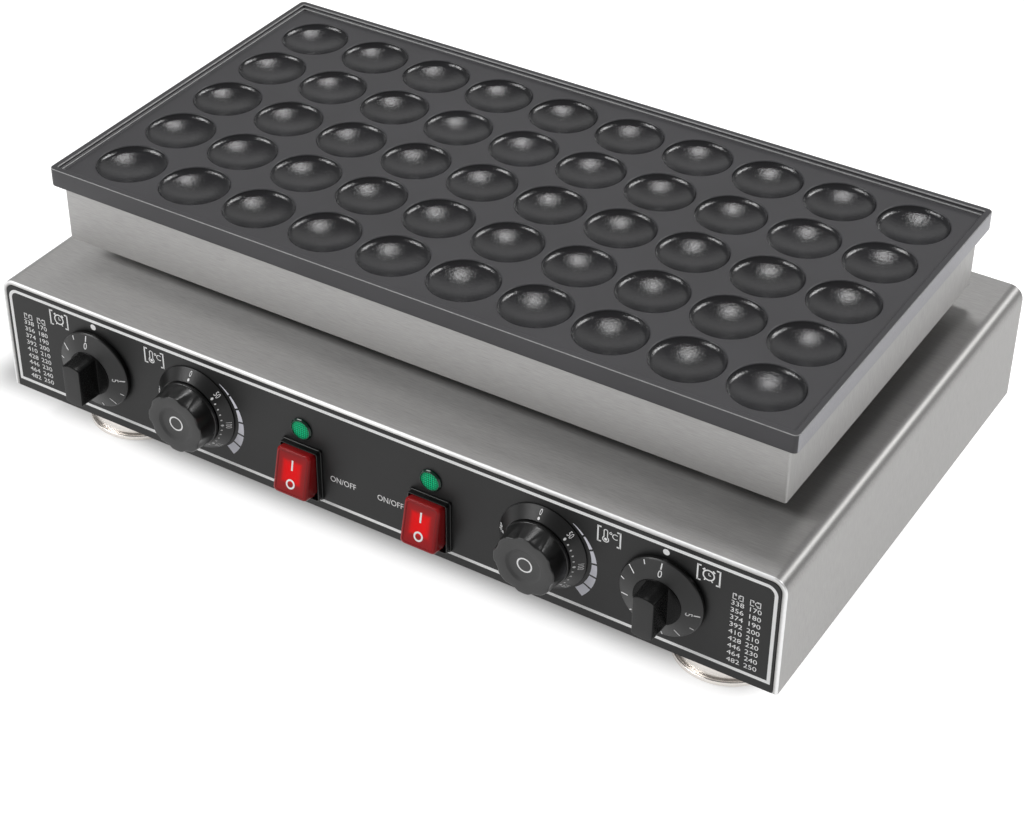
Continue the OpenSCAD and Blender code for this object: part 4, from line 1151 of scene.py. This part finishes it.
# Scales lie on cones: out falls in a straight line from the inner to the outer radius
timerScale = {
    "inner": inMm(15.5, 8),  # radius and out
    "outer": inMm(26.4, 4),
    "perMinute": 53.0,
    "minutes": 5,
    "setAt": {"left": -7.0, "right": 0.0},  # degrees, how far the print stands off the index dot
    "endTicks": (inMm(22, 25.6, 0.8), inMm(22.2, 25.8, 0.8)),  # from, to, width of the first and the last
    "ticks": (inMm(20.4, 26, 0.7), inMm(23.4, 26, 0.7)),  # of the minutes and the halves
    "digitAt": inMm(19.2, 19.4),
    "digitTall": 4.2 * mm,
}
heatScale = {
    "inner": inMm(22.8, 7),
    "outer": inMm(29.5, 0.9),
    "perFifty": 46.5,
    "fifties": 6,
    "dots": 5,
    "bigDot": inMm(24.2, 0.75),  # place and radius
    "smallDot": inMm(24.0, 0.5),
    "digits": inMm(27.0, 2.9),  # place and height
    "digitSqueeze": 0.9,
    "knobRing": inMm(4.2, 5.2),
}


def coneSurface(centre, p):
    def place(x, z):
        radius = np.hypot(x - centre.x, z - centre.z)
        share = (radius - p["inner"][0]) / (p["outer"][0] - p["inner"][0])
        return onPanel(x, z, p["inner"][1] + share * (p["outer"][1] - p["inner"][1]) + ink["coneLift"])
    return place


def makeTimerPrint(side, p):
    # the print runs anticlockwise, so that its numbers come to the dot as the dial turns clockwise
    centre = axisAt["timer_turn_" + side]
    middle = (centre.x, centre.z)
    zero = p["setAt"][side]
    shapes = []
    for minute, tick, at in zip((0, p["minutes"]), p["endTicks"], p["digitAt"]):
        angle = zero - minute * p["perMinute"]
        shapes.append(radialBar(middle, *tick, angle))
        shapes.append(letters(str(minute), *polar(middle, at, angle), p["digitTall"], angle))
    for half in range(1, 2 * p["minutes"]):
        shapes.append(radialBar(middle, *p["ticks"][half % 2], zero - half * p["perMinute"] / 2))
    printPiece("timerScale_" + side, shapes, coneSurface(centre, p), "timer_knob_" + side)


def makeHeatPrint(side, p):
    centre = axisAt["thermostat_turn_" + side]
    middle = (centre.x, centre.z)
    (bigAt, big), (smallAt, small), (digitAt, tall) = p["bigDot"], p["smallDot"], p["digits"]
    shapes = []
    for step in range(p["fifties"] + 1):
        angle = step * p["perFifty"]
        shapes.append(dot(*polar(middle, bigAt, angle), big))
        shapes.append(letters(str(step * 50), *polar(middle, digitAt, angle), tall, angle, p["digitSqueeze"]))
        if 0 < step < p["fifties"]:
            between = angle + np.arange(1, p["dots"]) * p["perFifty"] / p["dots"]
            shapes += [dot(*polar(middle, smallAt, a), small, 14) for a in between]
    printPiece("heatScale_" + side, shapes, coneSurface(centre, p), "base")
    face = knob["faceOut"] - knob["dishDepth"] + ink["lift"]
    ring = [band(*middle, *p["knobRing"], steps=40)]
    printPiece("knobRing_" + side, ring, lambda x, z: onPanel(x, z, face), "thermostat_knob_" + side)


def makeRockerPrint(side, p):
    # a bar over a ring, laid on the hollow of the cap
    barUp, *barSize = p["barMark"]
    marks = [bar(0, barUp, *barSize), band(0, *p["ringMark"], steps=32)]

    def face(x, up):
        share = np.maximum(np.abs(x) / p["window"][0], np.abs(up - p["windowUp"]) / p["window"][1])
        soft = p["windowSoft"] / p["window"][1]
        hollow = p["dip"] * np.interp(share, [0, 0.5, 1 - soft, 1 + soft, 1.5], [1, 0.8, 0.3, 0.2, 0])
        return rockerPlace(side, x, up, p["front"] - p["insertDrop"] - hollow + ink["capLift"], p)

    printPiece("rockerMarks_" + side, marks, face, "rocker_" + side)


makePanelPrint(panelPrint)
for side in sides:
    makeTimerPrint(side, timerScale)
    makeHeatPrint(side, heatScale)
    makeRockerPrint(side, rocker)
print("print made")


# Finishes of the CAD pieces that stay; a name that isn't a node has a left and a right one
finishes = {
    brushedSteel: ["front_plate", "rear_plate", "bottom_plate", "wire_duct", "spacer_pillars", "heater_housing"],
    turnedSteel: ["cover_screws", "rear_screws", "control_screws", "foot_bolts", "tie_rods", "tie_nuts",
                  "element_clamps", "clamp_studs", "rocker_pins", "thermostat_shaft", "timer_shaft"],
    panelFilm: ["control_panel"],
    padRubber: ["foot_pads", "cable_gland", "gland_nut"],
    fibre: ["insulation_blanket", "terminal_block"],
    foil: ["heat_shield"],
    heaterTube: ["heating_element"],
    copper: ["thermostat_bulb"],
    brass: ["earth_stud"],
    caseGrey: ["thermostat_body", "timer_body"],
    dialSatin: ["timer_dial", "scale_ring"],
    lampWhite: ["lamp_body"],
}
for material, names in finishes.items():
    for name in names:
        for node in [name] if name in nodes else [f"{name}_{side}" for side in sides]:
            nodes[node].data.materials.clear()
            nodes[node].data.materials.append(material)
print("CAD pieces finished")


# Stage: pale floor with a round backdrop, soft boxes above, behind, left, right and low in front,
# plain grey above
studio = {
    "radius": 7.0,
    "wallHeight": 0.8,
    "floorSteps": 64,
    "floorReach": (0, 0.9, 0.97, 1, 1),  # of the radius
    "floorRise": (0, 0, 0.03, 0.15, 1),  # of the wall height
    "floorTone": 0.50,
    "floorGlow": (0.0, 0.80),  # seen brightness added: none below the object, which paints a shadow there, and full beside it
    "paintedShadowHalf": (0.272, 0.118),  # half width and depth of the painted shadow, where the floor has no glow
    # the painted shadow is moved to the left
    "paintedShadowShift": (-0.045, 0.0),
    "paintedShadowFade": 0.042,
    "ambient": 0.24,
    "boxes": {  # direction, distance, size across and up, turn in degrees, watts
        "topBox": ((-0.18, 0.37, 0.91), 10.0, (1.9, 1.9), 0, 180),
        "rightStrip": ((0.53, 0.56, 0.64), 10.0, (5.8, 2.2), -47, 520),
        "leftStrip": ((-0.60, -0.50, 0.62), 10.0, (5.8, 2.2), 33, 520),
        "backBox": ((-0.32, 0.73, 0.60), 10.0, (12.0, 5.0), 0, 105),
        "frontBox": ((-0.42, -0.90, 0.10), 2.6, (1.6, 0.6), 0, 9),
    },
}


# What camera, gloss and clear pieces see, as a factor of 0 or 1
def seenFactor(tree):
    paths = addNode(tree, "LightPath").outputs
    seen = addMath(tree, "MAXIMUM", paths["Is Camera Ray"], paths["Is Glossy Ray"])
    return addMath(tree, "MAXIMUM", seen, paths["Is Transmission Ray"])


def makeFloor(p):
    # a disc that turns up into a round wall; its glow fades in with the distance from a rectangle round the
    # object, which paints a shadow there
    reach = p["radius"] * np.array(p["floorReach"])[:, None, None]
    points = lifted(reach * ray(fullTurn(p["floorSteps"])), p["wallHeight"] * np.array(p["floorRise"]))
    material, tree, shader = newMaterial("paleFloor", Base_Color=(*grey(p["floorTone"]), 1), Roughness=0.9,
                                         Emission_Color=(1, 1, 1, 1), Specular_IOR_Level=0.1)
    at = addNode(tree, "SeparateXYZ", Vector=addNode(tree, "TexCoord").outputs["Object"]).outputs
    away = []
    for axis, half, shift in zip("XY", p["paintedShadowHalf"], p["paintedShadowShift"]):
        beside = addMath(tree, "ABSOLUTE", addMath(tree, "SUBTRACT", at[axis], shift))
        off = addMath(tree, "MAXIMUM", addMath(tree, "SUBTRACT", beside, half), 0.0)
        away.append(addMath(tree, "POWER", off, 2.0))
    distance = addMath(tree, "SQRT", addMath(tree, "ADD", *away))
    low, high = p["floorGlow"]
    fade = addNode(tree, "MapRange", Value=distance, From_Max=p["paintedShadowFade"], To_Min=low, To_Max=high)
    fade.interpolation_type = "SMOOTHSTEP"
    feed(tree, shader, Emission_Strength=addMath(tree, "MULTIPLY", fade.outputs["Result"], seenFactor(tree)))
    floor = addObject("floor", newMesh("floor", points, gridQuads(len(points), p["floorSteps"]), [material]))


def makeLight(name, way, away, size, turn, watts):
    data = bpy.data.lights.new(name, "AREA")
    data.shape = "RECTANGLE"
    data.size, data.size_y = size
    data.energy = watts
    light = addObject(name, data)
    light.location = Vector(way).normalized() * away + Vector((0, 0, plateHigh.z))
    aim = (-Vector(way)).to_track_quat("-Z", "Y") @ Quaternion((0, 0, 1), math.radians(turn))
    light.rotation_euler = aim.to_euler()


def makeSurroundings(p):
    world = bpy.data.worlds.new("surroundings")
    world.use_nodes = True
    scene.world = world
    tree = world.node_tree
    tree.nodes.clear()
    background = addNode(tree, "Background", Color=(*grey(p["ambient"]), 1))
    addNode(tree, "OutputWorld", Surface=background.outputs[0])


makeFloor(studio)
for name, setup in studio["boxes"].items():
    makeLight(name, *setup)
makeSurroundings(studio)
print("stage made")
